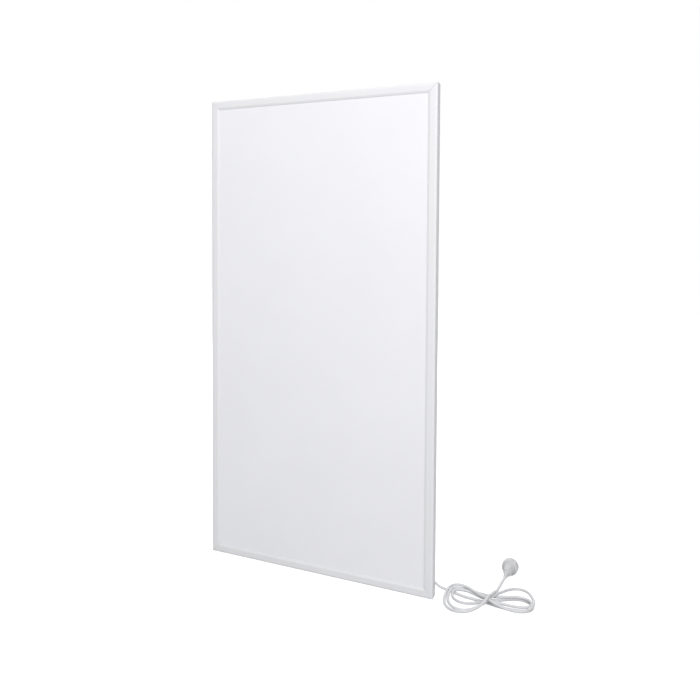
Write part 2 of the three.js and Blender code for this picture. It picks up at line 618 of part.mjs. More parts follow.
/** The wires, as name, material and points. */
function wires() {
  const sheathEnd = BOX_SIDE - CABLE_INSIDE_BOX - SEAT_GAP;
  const coreY = CABLE_Y - CORE_SPREAD / 2;
  const coreZ = CORE_SPREAD * Math.sin(Math.PI / 3);
  const pole = POLE_SPACING / 2;
  const portY = FLOOR_Y + SEAT_GAP + TERMINAL_DEPTH / 3;
  const rightPort = BOX_X + TERMINAL_X + TERMINAL_WIDTH / 2 + SEAT_GAP;
  const leftPort = rightPort - TERMINAL_WIDTH - 2 * SEAT_GAP;
  const [earthX, earthZ] = EARTH_SCREW;
  const lugY = FLOOR_Y + WIRE_DIAMETER;
  const cutoutY = BOARD_Y + CUTOUT_DEPTH / 2;
  const cutoutZ = FEED_Z + CUTOUT_Z;
  const cutoutLeft = FEED_X + CUTOUT_X - CUTOUT_WIDTH / 2 - SEAT_GAP;
  const cutoutRight = cutoutLeft + CUTOUT_WIDTH + 2 * SEAT_GAP;
  const barY = BUS_BAR_Y + BUS_BAR + SEAT_GAP;
  const coreEnd = sheathEnd - WIRE_STUB;
  const tap = [FEED_X - BAR_TAB, FEED_X + BAR_TAB];
  return {
    core_live: [WIRE_BROWN, [
      [sheathEnd, coreY, BOX_Z + coreZ], [coreEnd, coreY, BOX_Z + coreZ],
      [rightPort + WIRE_STUB, portY, BOX_Z + pole], [rightPort, portY, BOX_Z + pole]]],
    core_neutral: [WIRE_BLUE, [
      [sheathEnd, coreY, BOX_Z - coreZ], [coreEnd, coreY, BOX_Z - coreZ],
      [rightPort + WIRE_STUB, portY, BOX_Z - pole], [rightPort, portY, BOX_Z - pole]]],
    core_earth: [WIRE_GREEN, [
      [sheathEnd, CABLE_Y + CORE_SPREAD, BOX_Z], [coreEnd, CABLE_Y + CORE_SPREAD, BOX_Z],
      [earthX + 1, CABLE_Y + 1, (BOX_Z + earthZ) / 2 + 1], [earthX, lugY + WIRE_STUB, earthZ - LUG_RISE],
      [earthX, lugY, earthZ - SMALL_HEAD / 2 - FIT_GAP]]],
    // Points beyond the ends are the wires' chosen slack, from the hole or piece that they pass.
    lead_live_supply: [WIRE_BROWN, [
      [leftPort, portY, BOX_Z + pole], [leftPort - SUPPLY_STUB, portY, BOX_Z + pole],
      [FEED_X, FLOOR_Y, FEED_Z + 4.5], [FEED_X - 5.5, PLATE_Y - 5, cutoutZ - 5],
      [FEED_X - 8, cutoutY + 4, cutoutZ - 1], [cutoutLeft - WIRE_STUB, cutoutY, cutoutZ],
      [cutoutLeft, cutoutY, cutoutZ]]],
    lead_live_switched: [WIRE_BROWN, [
      [cutoutRight, cutoutY, cutoutZ], [cutoutRight + WIRE_STUB, cutoutY, cutoutZ],
      [cutoutRight + 7, cutoutY + 2, FEED_Z], [tap[1] + 6, cutoutY + 3, BAR_WIRE_Z + 5],
      [tap[1], barY + 4, BAR_WIRE_Z], [tap[1], barY, BAR_WIRE_Z]]],
    lead_neutral: [WIRE_BLUE, [
      [leftPort, portY, BOX_Z - pole], [leftPort - SUPPLY_STUB, portY, BOX_Z - pole],
      [FEED_X - 2, FLOOR_Y - 1, FEED_Z - 4], [FEED_X - 7, PLATE_Y - 7, FEED_Z - 7],
      [tap[0], barY + 5, BAR_WIRE_Z + 1], [tap[0], barY, BAR_WIRE_Z]]],
  };
}

/** Box, lid, fasteners, cable entry and wiring. */
function connection() {
  const group = new THREE.Group();
  const lidSeat = LID_Y + LID_THICKNESS + SEAT_GAP;
  const floorSeat = FLOOR_Y + SEAT_GAP;
  const small = (length, seat) =>
    panScrew(SMALL_SHANK, length, SMALL_HEAD, SMALL_HEAD_HEIGHT, seat);
  group.add(
    part('junction_box', junctionBox(), WHITE_PLASTIC),
    part('junction_box_lid', junctionLid(), WHITE_PLASTIC));
  LID_BOSSES.forEach(([x, z], index) =>
    group.add(part(`lid_screw_${index + 1}`, small(LID_SCREW_LENGTH, lidSeat), ZINC, x, 0, z)));
  FLOOR_SCREWS.forEach(([x, z], index) =>
    group.add(part(`box_screw_${index + 1}`, small(FLOOR_SCREW_LENGTH, floorSeat), ZINC, x, 0, z)));
  group.add(
    part('earth_screw', small(FLOOR_SCREW_LENGTH, floorSeat), BRASS, EARTH_SCREW[0], 0, EARTH_SCREW[1]),
    part('terminal_block', terminalBlock(), WHITE_PLASTIC),
    part('thermal_cutout', block(CUTOUT_WIDTH, CUTOUT_DEPTH, CUTOUT_HEIGHT, FEED_X + CUTOUT_X,
      BOARD_Y, FEED_Z + CUTOUT_Z), KEY_PLASTIC),
    part('gland_body', gland(), WHITE_PLASTIC),
    part('strain_relief_boot', boot(), WHITE_PLASTIC),
    part('flex_inner', tube([
      [BOX_SIDE - CABLE_INSIDE_BOX, CABLE_Y, BOX_Z], [BOOT_END - SEAT_GAP, CABLE_Y, BOX_Z],
    ], CABLE_DIAMETER, CABLE_SIDES, 1), CABLE_SHEATH));
  Object.entries(wires()).forEach(([name, [material, points]]) =>
    group.add(part(name, tube(points, WIRE_DIAMETER, WIRE_SIDES, 4 * points.length), material)));
  return group;
}

// ---------------------------------------------------------------- free cable and plug

/** Closed solid around the loops. */
function hank() {
  const curve = new THREE.CatmullRomCurve3(
    HANK_OUTLINE.map(([x, y]) => new THREE.Vector3(x, y, 0)), true, 'centripetal');
  const outline = new THREE.Shape(
    curve.getPoints(HANK_STEPS).slice(0, -1).map(({ x, y }) => new THREE.Vector2(x, y)));
  return new THREE.ExtrudeGeometry(outline, { depth: HANK_HEIGHT, bevelEnabled: false });
}

/** Plug body: head, grip and sleeve in one moulding, with notches and room for the strap. */
function plugBody() {
  const radius = PLUG_HEAD / 2;
  const length = PLUG_HEAD_LENGTH;
  const sleeveEnd = -GRIP_LENGTH - SLEEVE_LENGTH;
  const moulding = turned([
    [0, sleeveEnd], [SLEEVE_NARROW / 2, sleeveEnd], [SLEEVE_WIDE / 2, -GRIP_LENGTH],
    [GRIP_NARROW / 2, -GRIP_LENGTH + 1], [GRIP_WIDE / 2 - 3, -4], [GRIP_WIDE / 2, 0],
    [radius - PLUG_EDGE, 0], [radius, PLUG_EDGE], [radius, length - PLUG_EDGE],
    [radius - PLUG_EDGE, length], [0, length],
  ], 32);
  const deep = radius - NOTCH_DEPTH;
  const notch = (side) => block(2 * NOTCH_DEPTH, length + 2, NOTCH_WIDTH, side * (deep + NOTCH_DEPTH), -1, 0);
  const pinHole = (side) => drill(PIN_DIAMETER + 2 * FIT_GAP, length - PIN_ROOT - FIT_GAP,
    length + 1, (side * PIN_SPACING) / 2, 0);
  const room = STRAP_WIDTH + 2 * FIT_GAP;
  const slotDepth = STRAP_SHEET + 2 * FIT_GAP;
  const bridgeFront = length - STRAP_BRIDGE_INSET;
  const channel = (side) => block(room, bridgeFront - PLUG_EDGE + FIT_GAP, slotDepth * 2,
    0, PLUG_EDGE, side * radius);
  const slot = block(room, slotDepth, PLUG_HEAD + 2, 0, bridgeFront - STRAP_SHEET - FIT_GAP, 0);
  return cut(moulding, [notch(-1), notch(1), pinHole(-1), pinHole(1), channel(-1), channel(1), slot]);
}

/** U-shaped earth strap that shows in a channel on each side of the head. */
function earthStrap() {
  const outside = PLUG_HEAD / 2 - FIT_GAP;
  const inside = outside - STRAP_SHEET;
  const back = PLUG_EDGE + FIT_GAP;
  const front = PLUG_HEAD_LENGTH - STRAP_BRIDGE_INSET;
  const outline = new THREE.Shape([
    [back, -outside], [front, -outside], [front, outside], [back, outside], [back, inside],
    [front - STRAP_SHEET, inside], [front - STRAP_SHEET, -inside], [back, -inside],
  ].map(([y, z]) => new THREE.Vector2(-z, y)));
  return new THREE.ExtrudeGeometry(outline, { depth: STRAP_WIDTH, bevelEnabled: false })
    .translate(0, 0, -STRAP_WIDTH / 2).rotateY(Math.PI / 2);
}

/** Plug lying on its side, its pins away from the panel's front. */
function plug() {
  const pin = () => turned([
    [0, -PIN_ROOT], [PIN_DIAMETER / 2, -PIN_ROOT], [PIN_DIAMETER / 2, PIN_LENGTH - 2],
    [PIN_DIAMETER / 4, PIN_LENGTH], [0, PIN_LENGTH],
  ], 16);
  const rolled = new THREE.Group();
  rolled.rotation.y = THREE.MathUtils.degToRad(PLUG_ROLL);
  rolled.add(
    part('plug_body', plugBody(), WHITE_PLASTIC),
    part('plug_pin_left', pin(), ZINC, -PIN_SPACING / 2, PLUG_HEAD_LENGTH, 0),
    part('plug_pin_right', pin(), ZINC, PIN_SPACING / 2, PLUG_HEAD_LENGTH, 0),
    part('plug_earth_strap', earthStrap(), ZINC));
  const group = new THREE.Group();
  group.position.set(PLUG_X, PLUG_Y, PLUG_HEAD / 2);
  group.rotation.z = -THREE.MathUtils.degToRad(PLUG_TURN);
  group.add(rolled);
  return group;
}

/** The flex from the boot to the plug. */
function cable() {
  const group = new THREE.Group();
  group.add(
    part('cord_lead', tube(LEAD_POINTS, CABLE_DIAMETER, CABLE_SIDES, 10), CABLE_SHEATH),
    part('cord_hank', hank(), CABLE_SHEATH),
    part('cord_tail', tube(TAIL_POINTS, CABLE_DIAMETER, CABLE_SIDES, 12), CABLE_SHEATH),
    plug());
  return group;
}

// ---------------------------------------------------------------- assembly

const heater = new THREE.Group();
heater.add(frame(), sheets(), hangers(), connection(), cable());
heater.position.y = -OVERALL_DEPTH / 2;

export default heater;
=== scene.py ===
"""Infrared panel heater: the finished look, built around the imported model.

A white framed flat panel stands on the floor and leans on nothing. A flex leaves the connection box behind
its lower right corner, lies in a loose figure of eight on the floor and ends in a round earthed plug.
Lengths are metres and sizes are written in millimetres times MM. The panel's front faces -Y, +Z is up.
"""

import json
import logging
import math
from dataclasses import dataclass
from enum import Enum
from typing import Iterable, Sequence

import bmesh
import bpy
import numpy as np
from mathutils import Matrix, Vector

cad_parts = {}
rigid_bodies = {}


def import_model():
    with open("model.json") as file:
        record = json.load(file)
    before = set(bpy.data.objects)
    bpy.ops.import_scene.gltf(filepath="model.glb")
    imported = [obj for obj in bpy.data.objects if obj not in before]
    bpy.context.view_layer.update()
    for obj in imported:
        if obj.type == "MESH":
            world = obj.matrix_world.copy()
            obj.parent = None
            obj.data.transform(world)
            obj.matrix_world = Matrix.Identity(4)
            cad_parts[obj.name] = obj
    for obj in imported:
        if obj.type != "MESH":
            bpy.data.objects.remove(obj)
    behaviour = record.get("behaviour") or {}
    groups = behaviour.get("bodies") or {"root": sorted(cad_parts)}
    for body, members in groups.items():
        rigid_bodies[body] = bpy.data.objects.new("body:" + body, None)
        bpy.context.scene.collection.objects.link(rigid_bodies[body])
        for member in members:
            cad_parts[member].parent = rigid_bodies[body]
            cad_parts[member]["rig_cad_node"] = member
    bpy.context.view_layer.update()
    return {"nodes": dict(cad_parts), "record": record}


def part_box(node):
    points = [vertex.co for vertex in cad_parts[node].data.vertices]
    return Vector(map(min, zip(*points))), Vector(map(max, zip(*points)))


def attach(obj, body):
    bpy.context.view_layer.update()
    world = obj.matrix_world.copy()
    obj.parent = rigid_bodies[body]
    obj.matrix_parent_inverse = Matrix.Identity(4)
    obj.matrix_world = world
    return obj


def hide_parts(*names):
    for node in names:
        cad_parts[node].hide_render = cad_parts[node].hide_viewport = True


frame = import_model()

logging.basicConfig(level=logging.INFO, format="%(message)s")
log = logging.getLogger("panel_heater")

MM = 0.001
BODY = "root"
TINY = 1e-6
Outline = list[tuple[float, float]]
Triple = tuple[float, float, float]
ALONG_X = Matrix.Rotation(-math.pi / 2, 4, "Z")  # lays a piece that was made along Y along X


class Corner(Enum):
    """Corners of the panel, in the order in which the rails run round it, seen from the front."""

    BOTTOM_RIGHT = ("bottom_right", "frame_bottom")
    BOTTOM_LEFT = ("bottom_left", "frame_left")
    TOP_LEFT = ("top_left", "frame_top")
    TOP_RIGHT = ("top_right", "frame_right")

    @property
    def label(self) -> str:
        """Name of the corner in the nodes' names."""
        return self.value[0]

    @property
    def rail(self) -> str:
        """Node of the rail that starts at this corner."""
        return self.value[1]

    @property
    def turn(self) -> float:
        """Angle about the depth axis from the first corner, in radians."""
        return list(Corner).index(self) * math.pi / 2


# ---- meshes


def piece(name: str, mesh: bpy.types.Mesh) -> bpy.types.Object:
    """Makes an object at the origin and links it to the scene.

    Args:
        name: The object's name.
        mesh: Its mesh, already in place.

    Returns:
        The new object.
    """
    made = bpy.data.objects.new(name, mesh)
    bpy.context.scene.collection.objects.link(made)
    return made


def to_mesh(bm: bmesh.types.BMesh, name: str, place: Matrix = Matrix.Identity(4)) -> bpy.types.Mesh:
    """Turns a bmesh into a mesh with its faces pointing out.

    Args:
        bm: The bmesh, which is freed.
        name: Name of the mesh.
        place: Transform that puts it in place.

    Returns:
        The mesh.
    """
    bmesh.ops.recalc_face_normals(bm, faces=bm.faces)
    mesh = bpy.data.meshes.new(name)
    bm.to_mesh(mesh)
    bm.free()
    mesh.transform(place)
    return mesh


def solid(name: str, bm: bmesh.types.BMesh, place: Matrix = Matrix.Identity(4)) -> bpy.types.Object:
    """Makes an object from a bmesh, put in place."""
    return piece(name, to_mesh(bm, name, place))


def taken(made: bpy.types.Object) -> bpy.types.Mesh:
    """Takes the mesh of a helper object and removes the object."""
    mesh = made.data
    bpy.data.objects.remove(made)
    return mesh


def shade(mesh: bpy.types.Mesh, angle: float = 32.0) -> bpy.types.Mesh:
    """Shades a mesh smooth, with sharp edges where faces meet at more than an angle in degrees."""
    mesh.polygons.foreach_set("use_smooth", [True] * len(mesh.polygons))
    mesh.set_sharp_from_angle(angle=math.radians(angle))
    return mesh


def settle(made: bpy.types.Object) -> bpy.types.Object:
    """Bakes an object's modifiers into a plain mesh of its own.

    Args:
        made: The object, with modifiers.

    Returns:
        The same object without modifiers.
    """
    graph = bpy.context.evaluated_depsgraph_get()
    mesh = bpy.data.meshes.new_from_object(made.evaluated_get(graph))
    mesh.name = made.name
    made.modifiers.clear()
    made.data = mesh
    return made


def filleted(corners: Sequence[Triple], steps: int = 5) -> Outline:
    """Rounds the corners of a closed outline.

    Args:
        corners: Corner points as x, y and radius. A radius of 0 keeps the corner.
        steps: Segments of each arc.

    Returns:
        The outline's points.
    """
    points: Outline = []
    for index, (x, y, radius) in enumerate(corners):
        here = Vector((x, y))
        if radius == 0:
            points.append((x, y))
            continue
        before = (Vector(corners[index - 1][:2]) - here).normalized()
        after = (Vector(corners[(index + 1) % len(corners)][:2]) - here).normalized()
        half = before.angle(after) / 2
        middle = here + (before + after).normalized() * radius / math.sin(half)
        start = here + before * radius / math.tan(half) - middle
        end = here + after * radius / math.tan(half) - middle
        for step in range(steps + 1):
            share = step / steps
            arm = start.slerp(end, share) if start.angle(end) < math.pi - TINY else start.lerp(end, share)
            points.append(tuple(middle + arm.normalized() * radius))
    return points


def arc(middle: tuple[float, float], radius: float, start: float, end: float, steps: int = 6) -> Outline:
    """Points of an arc about a middle, from one angle in degrees to another."""
    angles = np.radians(np.linspace(start, end, steps + 1))
    return [(middle[0] + radius * math.cos(a), middle[1] + radius * math.sin(a)) for a in angles]


def rounded_rectangle(width: float, height: float, radius: float, steps: int = 6) -> Outline:
    """Outline of a rectangle with round corners about the origin."""
    x, y = width / 2, height / 2
    return filleted([(x, -y, radius), (x, y, radius), (-x, y, radius), (-x, -y, radius)], steps)


def prism(outline: Outline, depth: float) -> bmesh.types.BMesh:
    """Solid from an outline in the XZ plane, from y = 0 to a depth."""
    bm = bmesh.new()
    face = bm.faces.new([bm.verts.new((x, 0, z)) for x, z in outline])
    swept = bmesh.ops.extrude_face_region(bm, geom=[face])["geom"]
    moved = [vert for vert in swept if isinstance(vert, bmesh.types.BMVert)]
    bmesh.ops.translate(bm, vec=(0, depth, 0), verts=moved)
    return bm


def stack_rings(rings: Sequence[Sequence[Vector]], closed: bool = False) -> bmesh.types.BMesh:
    """Skins rings of equal point counts. A ring of one point is a pole; open ends are capped.

    Args:
        rings: The rings in order.
        closed: Whether the last ring joins the first.

    Returns:
        The closed mesh.
    """
    bm = bmesh.new()
    made = [[bm.verts.new(point) for point in ring] for ring in rings]
    pairs = list(zip(made, made[1:])) + ([(made[-1], made[0])] if closed else [])
    for low, high in pairs:
        count = max(len(low), len(high))
        for index in range(count):
            follow = (index + 1) % count
            corners = [low[index % len(low)], low[follow % len(low)],
                       high[follow % len(high)], high[index % len(high)]]
            bm.faces.new(list(dict.fromkeys(corners)))
    if not closed:
        for ring in (made[0], made[-1]):
            if len(ring) > 1:
                bm.faces.new(ring)
    return bm


def turned(profile: Outline, steps: int = 48, closed: bool = False) -> bmesh.types.BMesh:
    """Solid turned about the Y axis.

    Args:
        profile: Points as radius and y. A radius of 0 is a pole.
        steps: Segments round the axis.
        closed: Whether the profile closes on itself, as on a piece with a bore.

    Returns:
        The closed mesh.
    """
    rings = []
    for radius, y in profile:
        if radius == 0:
            rings.append([Vector((0, y, 0))])
            continue
        angles = [2 * math.pi * step / steps for step in range(steps)]
        rings.append([Vector((radius * math.cos(a), y, radius * math.sin(a))) for a in angles])
    return stack_rings(rings, closed)


def loft(width: float, height: float, radius: float, profile: Outline) -> bmesh.types.BMesh:
    """Solid between rounded rectangles.

    Args:
        width: Outer width.
        height: Outer height.
        radius: Outer corner radius.
        profile: Points as inset from the outside and y.

    Returns:
        The closed mesh, about the origin.
    """
    least = 0.2 * MM
    rings = []
    for inset, y in profile:
        outline = rounded_rectangle(width - 2 * inset, height - 2 * inset, max(radius - inset, least))
        rings.append([Vector((x, y, z)) for x, z in outline])
    return stack_rings(rings)


def peg(diameter: float, start: float, end: float, steps: int = 32) -> bmesh.types.BMesh:
    """Plain round bar along Y, used to cut holes and add bosses."""
    return turned([(0, start), (diameter / 2, start), (diameter / 2, end), (0, end)], steps)


def bar(size: Triple, middle: Triple) -> bmesh.types.BMesh:
    """Plain box, used to cut slots."""
    bm = bmesh.new()
    bmesh.ops.create_cube(bm, size=1, matrix=at(*middle) @ Matrix.Diagonal((*size, 1)))
    return bm


def carve(body: bpy.types.Object, tools: Iterable[bpy.types.Mesh], add: bool = False) -> bpy.types.Object:
    """Cuts tools out of a piece, or joins them to it, one after another.

    Args:
        body: The piece to cut.
        tools: Closed meshes in place.
        add: Joins the tools instead.

    Returns:
        The same piece with its new mesh.
    """
    for mesh in tools:
        tool = piece("tool", mesh)
        step = body.modifiers.new("carve", "BOOLEAN")
        step.operation = "UNION" if add else "DIFFERENCE"
        step.solver = "EXACT"
        step.object = tool
        settle(body)
        bpy.data.objects.remove(tool)
    return body


def at(x: float, y: float, z: float) -> Matrix:
    """Transform that moves to a place."""
    return Matrix.Translation((x, y, z))


def extent(node: str) -> tuple[Vector, Vector, Vector]:
    """Low corner, high corner and middle of a node's box."""
    low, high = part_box(node)
    return low, high, (low + high) / 2


def tinted(color: Triple, gain: float) -> Triple:
    """A colour made darker or lighter."""
    return tuple(gain * channel for channel in color)


# ---- node trees


class ShaderSketch:
    """Lays out the nodes of one surface around a Principled shader."""

    WAVE_RATE = 10  # a wave texture's bands are pi / 10 apart at a scale of 1

    def __init__(self, name: str) -> None:
        """Starts a material.

        Args:
            name: The material's name.
        """
        self.material = bpy.data.materials.new(name)
        self.material.use_nodes = True
        self.tree = self.material.node_tree
        self.surface = self.tree.nodes["Principled BSDF"]
        self.place = self.tree.nodes.new("ShaderNodeTexCoord").outputs["Object"]

    def set(self, socket: str, value: object) -> None:
        """Sets a plain value on the shader."""
        self.surface.inputs[socket].default_value = value

    def link(self, source: bpy.types.NodeSocket, target: bpy.types.NodeSocket) -> None:
        """Joins two sockets."""
        self.tree.links.new(source, target)

    def along_surface(self) -> None:
        """Reads the piece's own UV map instead of its object coordinates."""
        self.place = self.tree.nodes.new("ShaderNodeUVMap").outputs["UV"]

    def stretch(self, scale: Triple) -> bpy.types.NodeSocket:
        """Coordinates scaled by direction."""
        node = self.tree.nodes.new("ShaderNodeMapping")
        node.inputs["Scale"].default_value = scale
        self.link(self.place, node.inputs["Vector"])
        return node.outputs["Vector"]

    def noise(self, grain: float, detail: float = 2.0, roughness: float = 0.5,
              scale: Triple = (1, 1, 1)) -> bpy.types.NodeSocket:
        """Cloudy pattern.

        Args:
            grain: Size of one blot, in metres.
            detail: Octaves.
            roughness: Weight of the finer octaves.
            scale: Stretch by direction.

        Returns:
            The pattern from 0 to 1.
        """
        node = self.tree.nodes.new("ShaderNodeTexNoise")
        node.inputs["Scale"].default_value = 1 / grain
        node.inputs["Detail"].default_value = detail
        node.inputs["Roughness"].default_value = roughness
        self.link(self.stretch(scale), node.inputs["Vector"])
        return node.outputs["Fac"]

    def cells(self, grain: float) -> bpy.types.NodeSocket:
        """Pattern of cells of a size in metres, as distance from each cell's middle."""
        node = self.tree.nodes.new("ShaderNodeTexVoronoi")
        node.inputs["Scale"].default_value = 1 / grain
        self.link(self.place, node.inputs["Vector"])
        return node.outputs["Distance"]

    def stripes(self, pitch: float, direction: str) -> bpy.types.NodeSocket:
        """Sine bands a pitch apart, in metres, across an axis, or two pitches along it if diagonal."""
        node = self.tree.nodes.new("ShaderNodeTexWave")
        node.bands_direction = direction
        node.inputs["Scale"].default_value = math.pi / (self.WAVE_RATE * pitch)
        self.link(self.place, node.inputs["Vector"])
        return node.outputs["Fac"]

    def blend(self, pattern: bpy.types.NodeSocket, stops: Sequence[tuple[float, Triple | float]],
              socket: str) -> None:
        """Drives a socket from a pattern through a ramp of colours or greys.

        Args:
            pattern: The pattern from 0 to 1.
            stops: Places along the ramp and their colours or greys.
            socket: The shader's socket.
        """
        ramp = self.tree.nodes.new("ShaderNodeValToRGB")
        band = ramp.color_ramp.elements
        for index, (place, color) in enumerate(stops):
            stop = band[index] if index < 2 else band.new(place)
            stop.position = place
            stop.color = (*(color if isinstance(color, tuple) else [color] * 3), 1)
        self.link(pattern, ramp.inputs["Fac"])
        self.link(ramp.outputs["Color"], self.surface.inputs[socket])

    def mottle(self, socket: str, grain: float, low: Triple | float, high: Triple | float,
               detail: float = 2.0, span: tuple[float, float] = (0.3, 0.7)) -> None:
        """Drives a socket from a cloudy pattern.

        Args:
            socket: The shader's socket.
            grain: Size of one blot, in metres.
            low: Colour or grey where the pattern is low.
            high: Colour or grey where it is high.
            detail: Octaves.
            span: Where in the pattern the change from low to high starts and ends.
        """
        self.blend(self.noise(grain, detail), [(span[0], low), (span[1], high)], socket)

    def relief(self, *layers: tuple[bpy.types.NodeSocket, float]) -> None:
        """Adds bump layers.

        Args:
            layers: Patterns and their depths in metres, coarse ones first.
        """
        normal = None
        for pattern, depth in layers:
            bump = self.tree.nodes.new("ShaderNodeBump")
            bump.inputs["Strength"].default_value = 1.0
            bump.inputs["Distance"].default_value = depth
            self.link(pattern, bump.inputs["Height"])
            if normal is not None:
                self.link(normal, bump.inputs["Normal"])
            normal = bump.outputs["Normal"]
        self.link(normal, self.surface.inputs["Normal"])


class GrowthTree:
    """A Geometry Nodes tree with named inputs, made in code."""

    def __init__(self, name: str) -> None:
        """Starts a tree that takes and gives geometry.

        Args:
            name: The tree's name.
        """
        self.tree = bpy.data.node_groups.new(name, "GeometryNodeTree")
        self.tree.interface.new_socket("Geometry", in_out="INPUT", socket_type="NodeSocketGeometry")
        self.tree.interface.new_socket("Geometry", in_out="OUTPUT", socket_type="NodeSocketGeometry")
        self.start = self.tree.nodes.new("NodeGroupInput")
        self.end = self.tree.nodes.new("NodeGroupOutput")

    def value(self, name: str, kind: str = "NodeSocketFloat") -> bpy.types.NodeSocket:
        """Adds a named input and returns its socket."""
        self.tree.interface.new_socket(name, in_out="INPUT", socket_type=kind)
        return self.start.outputs[name]

    def add(self, kind: str, settings: dict[str, object] | None = None,
            **inputs: object) -> bpy.types.Node:
        """Adds a node.

        Args:
            kind: The node's type.
            settings: Its properties.
            inputs: Sockets to join or values to set, by name with _ for a space, or by place as i0, i1.

        Returns:
            The node.
        """
        node = self.tree.nodes.new(kind)
        for key, setting in (settings or {}).items():
            setattr(node, key, setting)
        for key, given in inputs.items():
            name = key.replace("_", " ").strip()
            target = node.inputs[int(name[1:]) if name[0] == "i" and name[1:].isdigit() else name]
            if isinstance(given, bpy.types.NodeSocket):
                self.tree.links.new(given, target)
            else:
                target.default_value = given
        return node

    def math(self, operation: str, *terms: object) -> bpy.types.NodeSocket:
        """Result of a sum, product or other operation on sockets and numbers."""
        node = self.add("ShaderNodeMath", {"operation": operation},
                        **{f"i{index}": term for index, term in enumerate(terms)})
        return node.outputs[0]

    def finish(self, geometry: bpy.types.NodeSocket) -> None:
        """Realises the result, gives it the tree's material and joins it to the output."""
        realised = self.add("GeometryNodeRealizeInstances", Geometry=geometry)
        dressed = self.add("GeometryNodeSetMaterial", Geometry=realised.outputs[0],
                           Material=self.value("Material", "NodeSocketMaterial"))
        self.tree.links.new(dressed.outputs[0], self.end.inputs[0])

    def grow(self, made: bpy.types.Object, **values: object) -> bpy.types.Object:
        """Runs the tree on an object and keeps the result as its mesh.

        Args:
            made: The object.
            values: The named inputs, with _ for a space.

        Returns:
            The same object.
        """
        step = made.modifiers.new("growth", "NODES")
        step.node_group = self.tree
        sockets = {item.name: item.identifier for item in self.tree.interface.items_tree
                   if item.in_out == "INPUT"}
        for key, given in values.items():
            step[sockets[key.replace("_", " ")]] = given
        return settle(made)


# ---- finishes


@dataclass(frozen=True)
class Finish:
    """One procedural material of the heater."""

    name: str
    color: Triple

    def make(self) -> bpy.types.Material:
        """Builds the material.

        Returns:
            The material.
        """
        sketch = ShaderSketch(self.name)
        self.paint(sketch)
        return sketch.material

    def paint(self, sketch: ShaderSketch) -> None:
        """Lays out the finish's own nodes on a plain shader."""
        raise NotImplementedError


@dataclass(frozen=True)
class PowderCoat(Finish):
    """Baked coat on metal: a faint orange peel, or a fine heat-resistant texture."""

    roughness: float = 0.42
    peel: float = 1.6 * MM
    peel_depth: float = 0.012 * MM
    speck: float = 0.35 * MM
    speck_depth: float = 0.004 * MM

    def paint(self, sketch: ShaderSketch) -> None:
        """Lays out faint clouds, an uneven sheen, the peel and its specks."""
        sketch.mottle("Base Color", 0.18, tinted(self.color, 0.985), self.color, detail=3, span=(0.35, 0.65))
        sketch.mottle("Roughness", 0.06, self.roughness - 0.03, self.roughness + 0.03, detail=4)
        sketch.set("Specular IOR Level", 0.45)
        sketch.relief((sketch.noise(self.peel, detail=1), self.peel_depth),
                      (sketch.noise(self.speck, detail=2), self.speck_depth))


@dataclass(frozen=True)
class MouldedPlastic(Finish):
    """Injection-moulded plastic with a spark-eroded grain and slight flow clouds."""

    roughness: float = 0.45
    grain: float = 0.4 * MM
    grain_depth: float = 0.012 * MM

    def paint(self, sketch: ShaderSketch) -> None:
        """Lays out the flow clouds, an uneven sheen and the grain."""
        sketch.mottle("Base Color", 0.02, tinted(self.color, 0.97), self.color, detail=3, span=(0.35, 0.65))
        sketch.mottle("Roughness", 0.008, self.roughness - 0.04, self.roughness + 0.05, detail=3)
        sketch.relief((sketch.cells(self.grain), self.grain_depth))


@dataclass(frozen=True)
class PlatedMetal(Finish):
    """Metal with the fine marks of its making and a slightly cloudy plating."""

    roughness: float = 0.32
    streak: Triple = (1, 1, 1)
    mark: float = 0.5 * MM
    mark_depth: float = 0.004 * MM

    def paint(self, sketch: ShaderSketch) -> None:
        """Lays out the cloudy plating and the marks, in sheen and relief."""
        sketch.set("Metallic", 1.0)
        sketch.mottle("Base Color", 0.012, tinted(self.color, 0.86), self.color, detail=4)
        marks = sketch.noise(self.mark, detail=3, scale=self.streak)
        sketch.blend(marks, [(0.2, self.roughness - 0.08), (0.8, self.roughness + 0.1)], "Roughness")
        sketch.relief((marks, self.mark_depth))


@dataclass(frozen=True)
class CrinkledFoil(Finish):
    """Thin bright foil, pressed flat over a fibrous board."""

    crease: float = 9 * MM
    crease_depth: float = 0.15 * MM
    fibre: float = 2 * MM
    fibre_depth: float = 0.05 * MM

    def paint(self, sketch: ShaderSketch) -> None:
        """Lays out the crease pattern, with painted shade that darkens the foil's colour towards each crease,
        and the fibres that press through.
        """
        sketch.set("Metallic", 1.0)
        # painted shade: the foil's colour darkens towards each crease, where shade would fall
        painted_crease_shade = [(0.1, self.color), (0.8, tinted(self.color, 0.9))]
        sketch.blend(sketch.cells(self.crease), painted_crease_shade, "Base Color")
        sketch.mottle("Roughness", 0.03, 0.18, 0.3)
        sketch.relief((sketch.cells(self.crease), self.crease_depth),
                      (sketch.noise(self.fibre), self.fibre_depth))


@dataclass(frozen=True)
class MineralWool(Finish):
    """Pressed wool board: long pale fibres over a darker ground."""

    fibre: float = 0.7 * MM
    fibre_depth: float = 0.5 * MM

    def paint(self, sketch: ShaderSketch) -> None:
        """Lays out the fibres, in colour and relief."""
        fibres = sketch.noise(self.fibre, detail=6, roughness=0.65, scale=(0.12, 1, 1))
        sketch.blend(fibres, [(0.35, tinted(self.color, 0.6)), (0.6, self.color)], "Base Color")
        sketch.set("Roughness", 0.95)
        sketch.relief((fibres, self.fibre_depth))


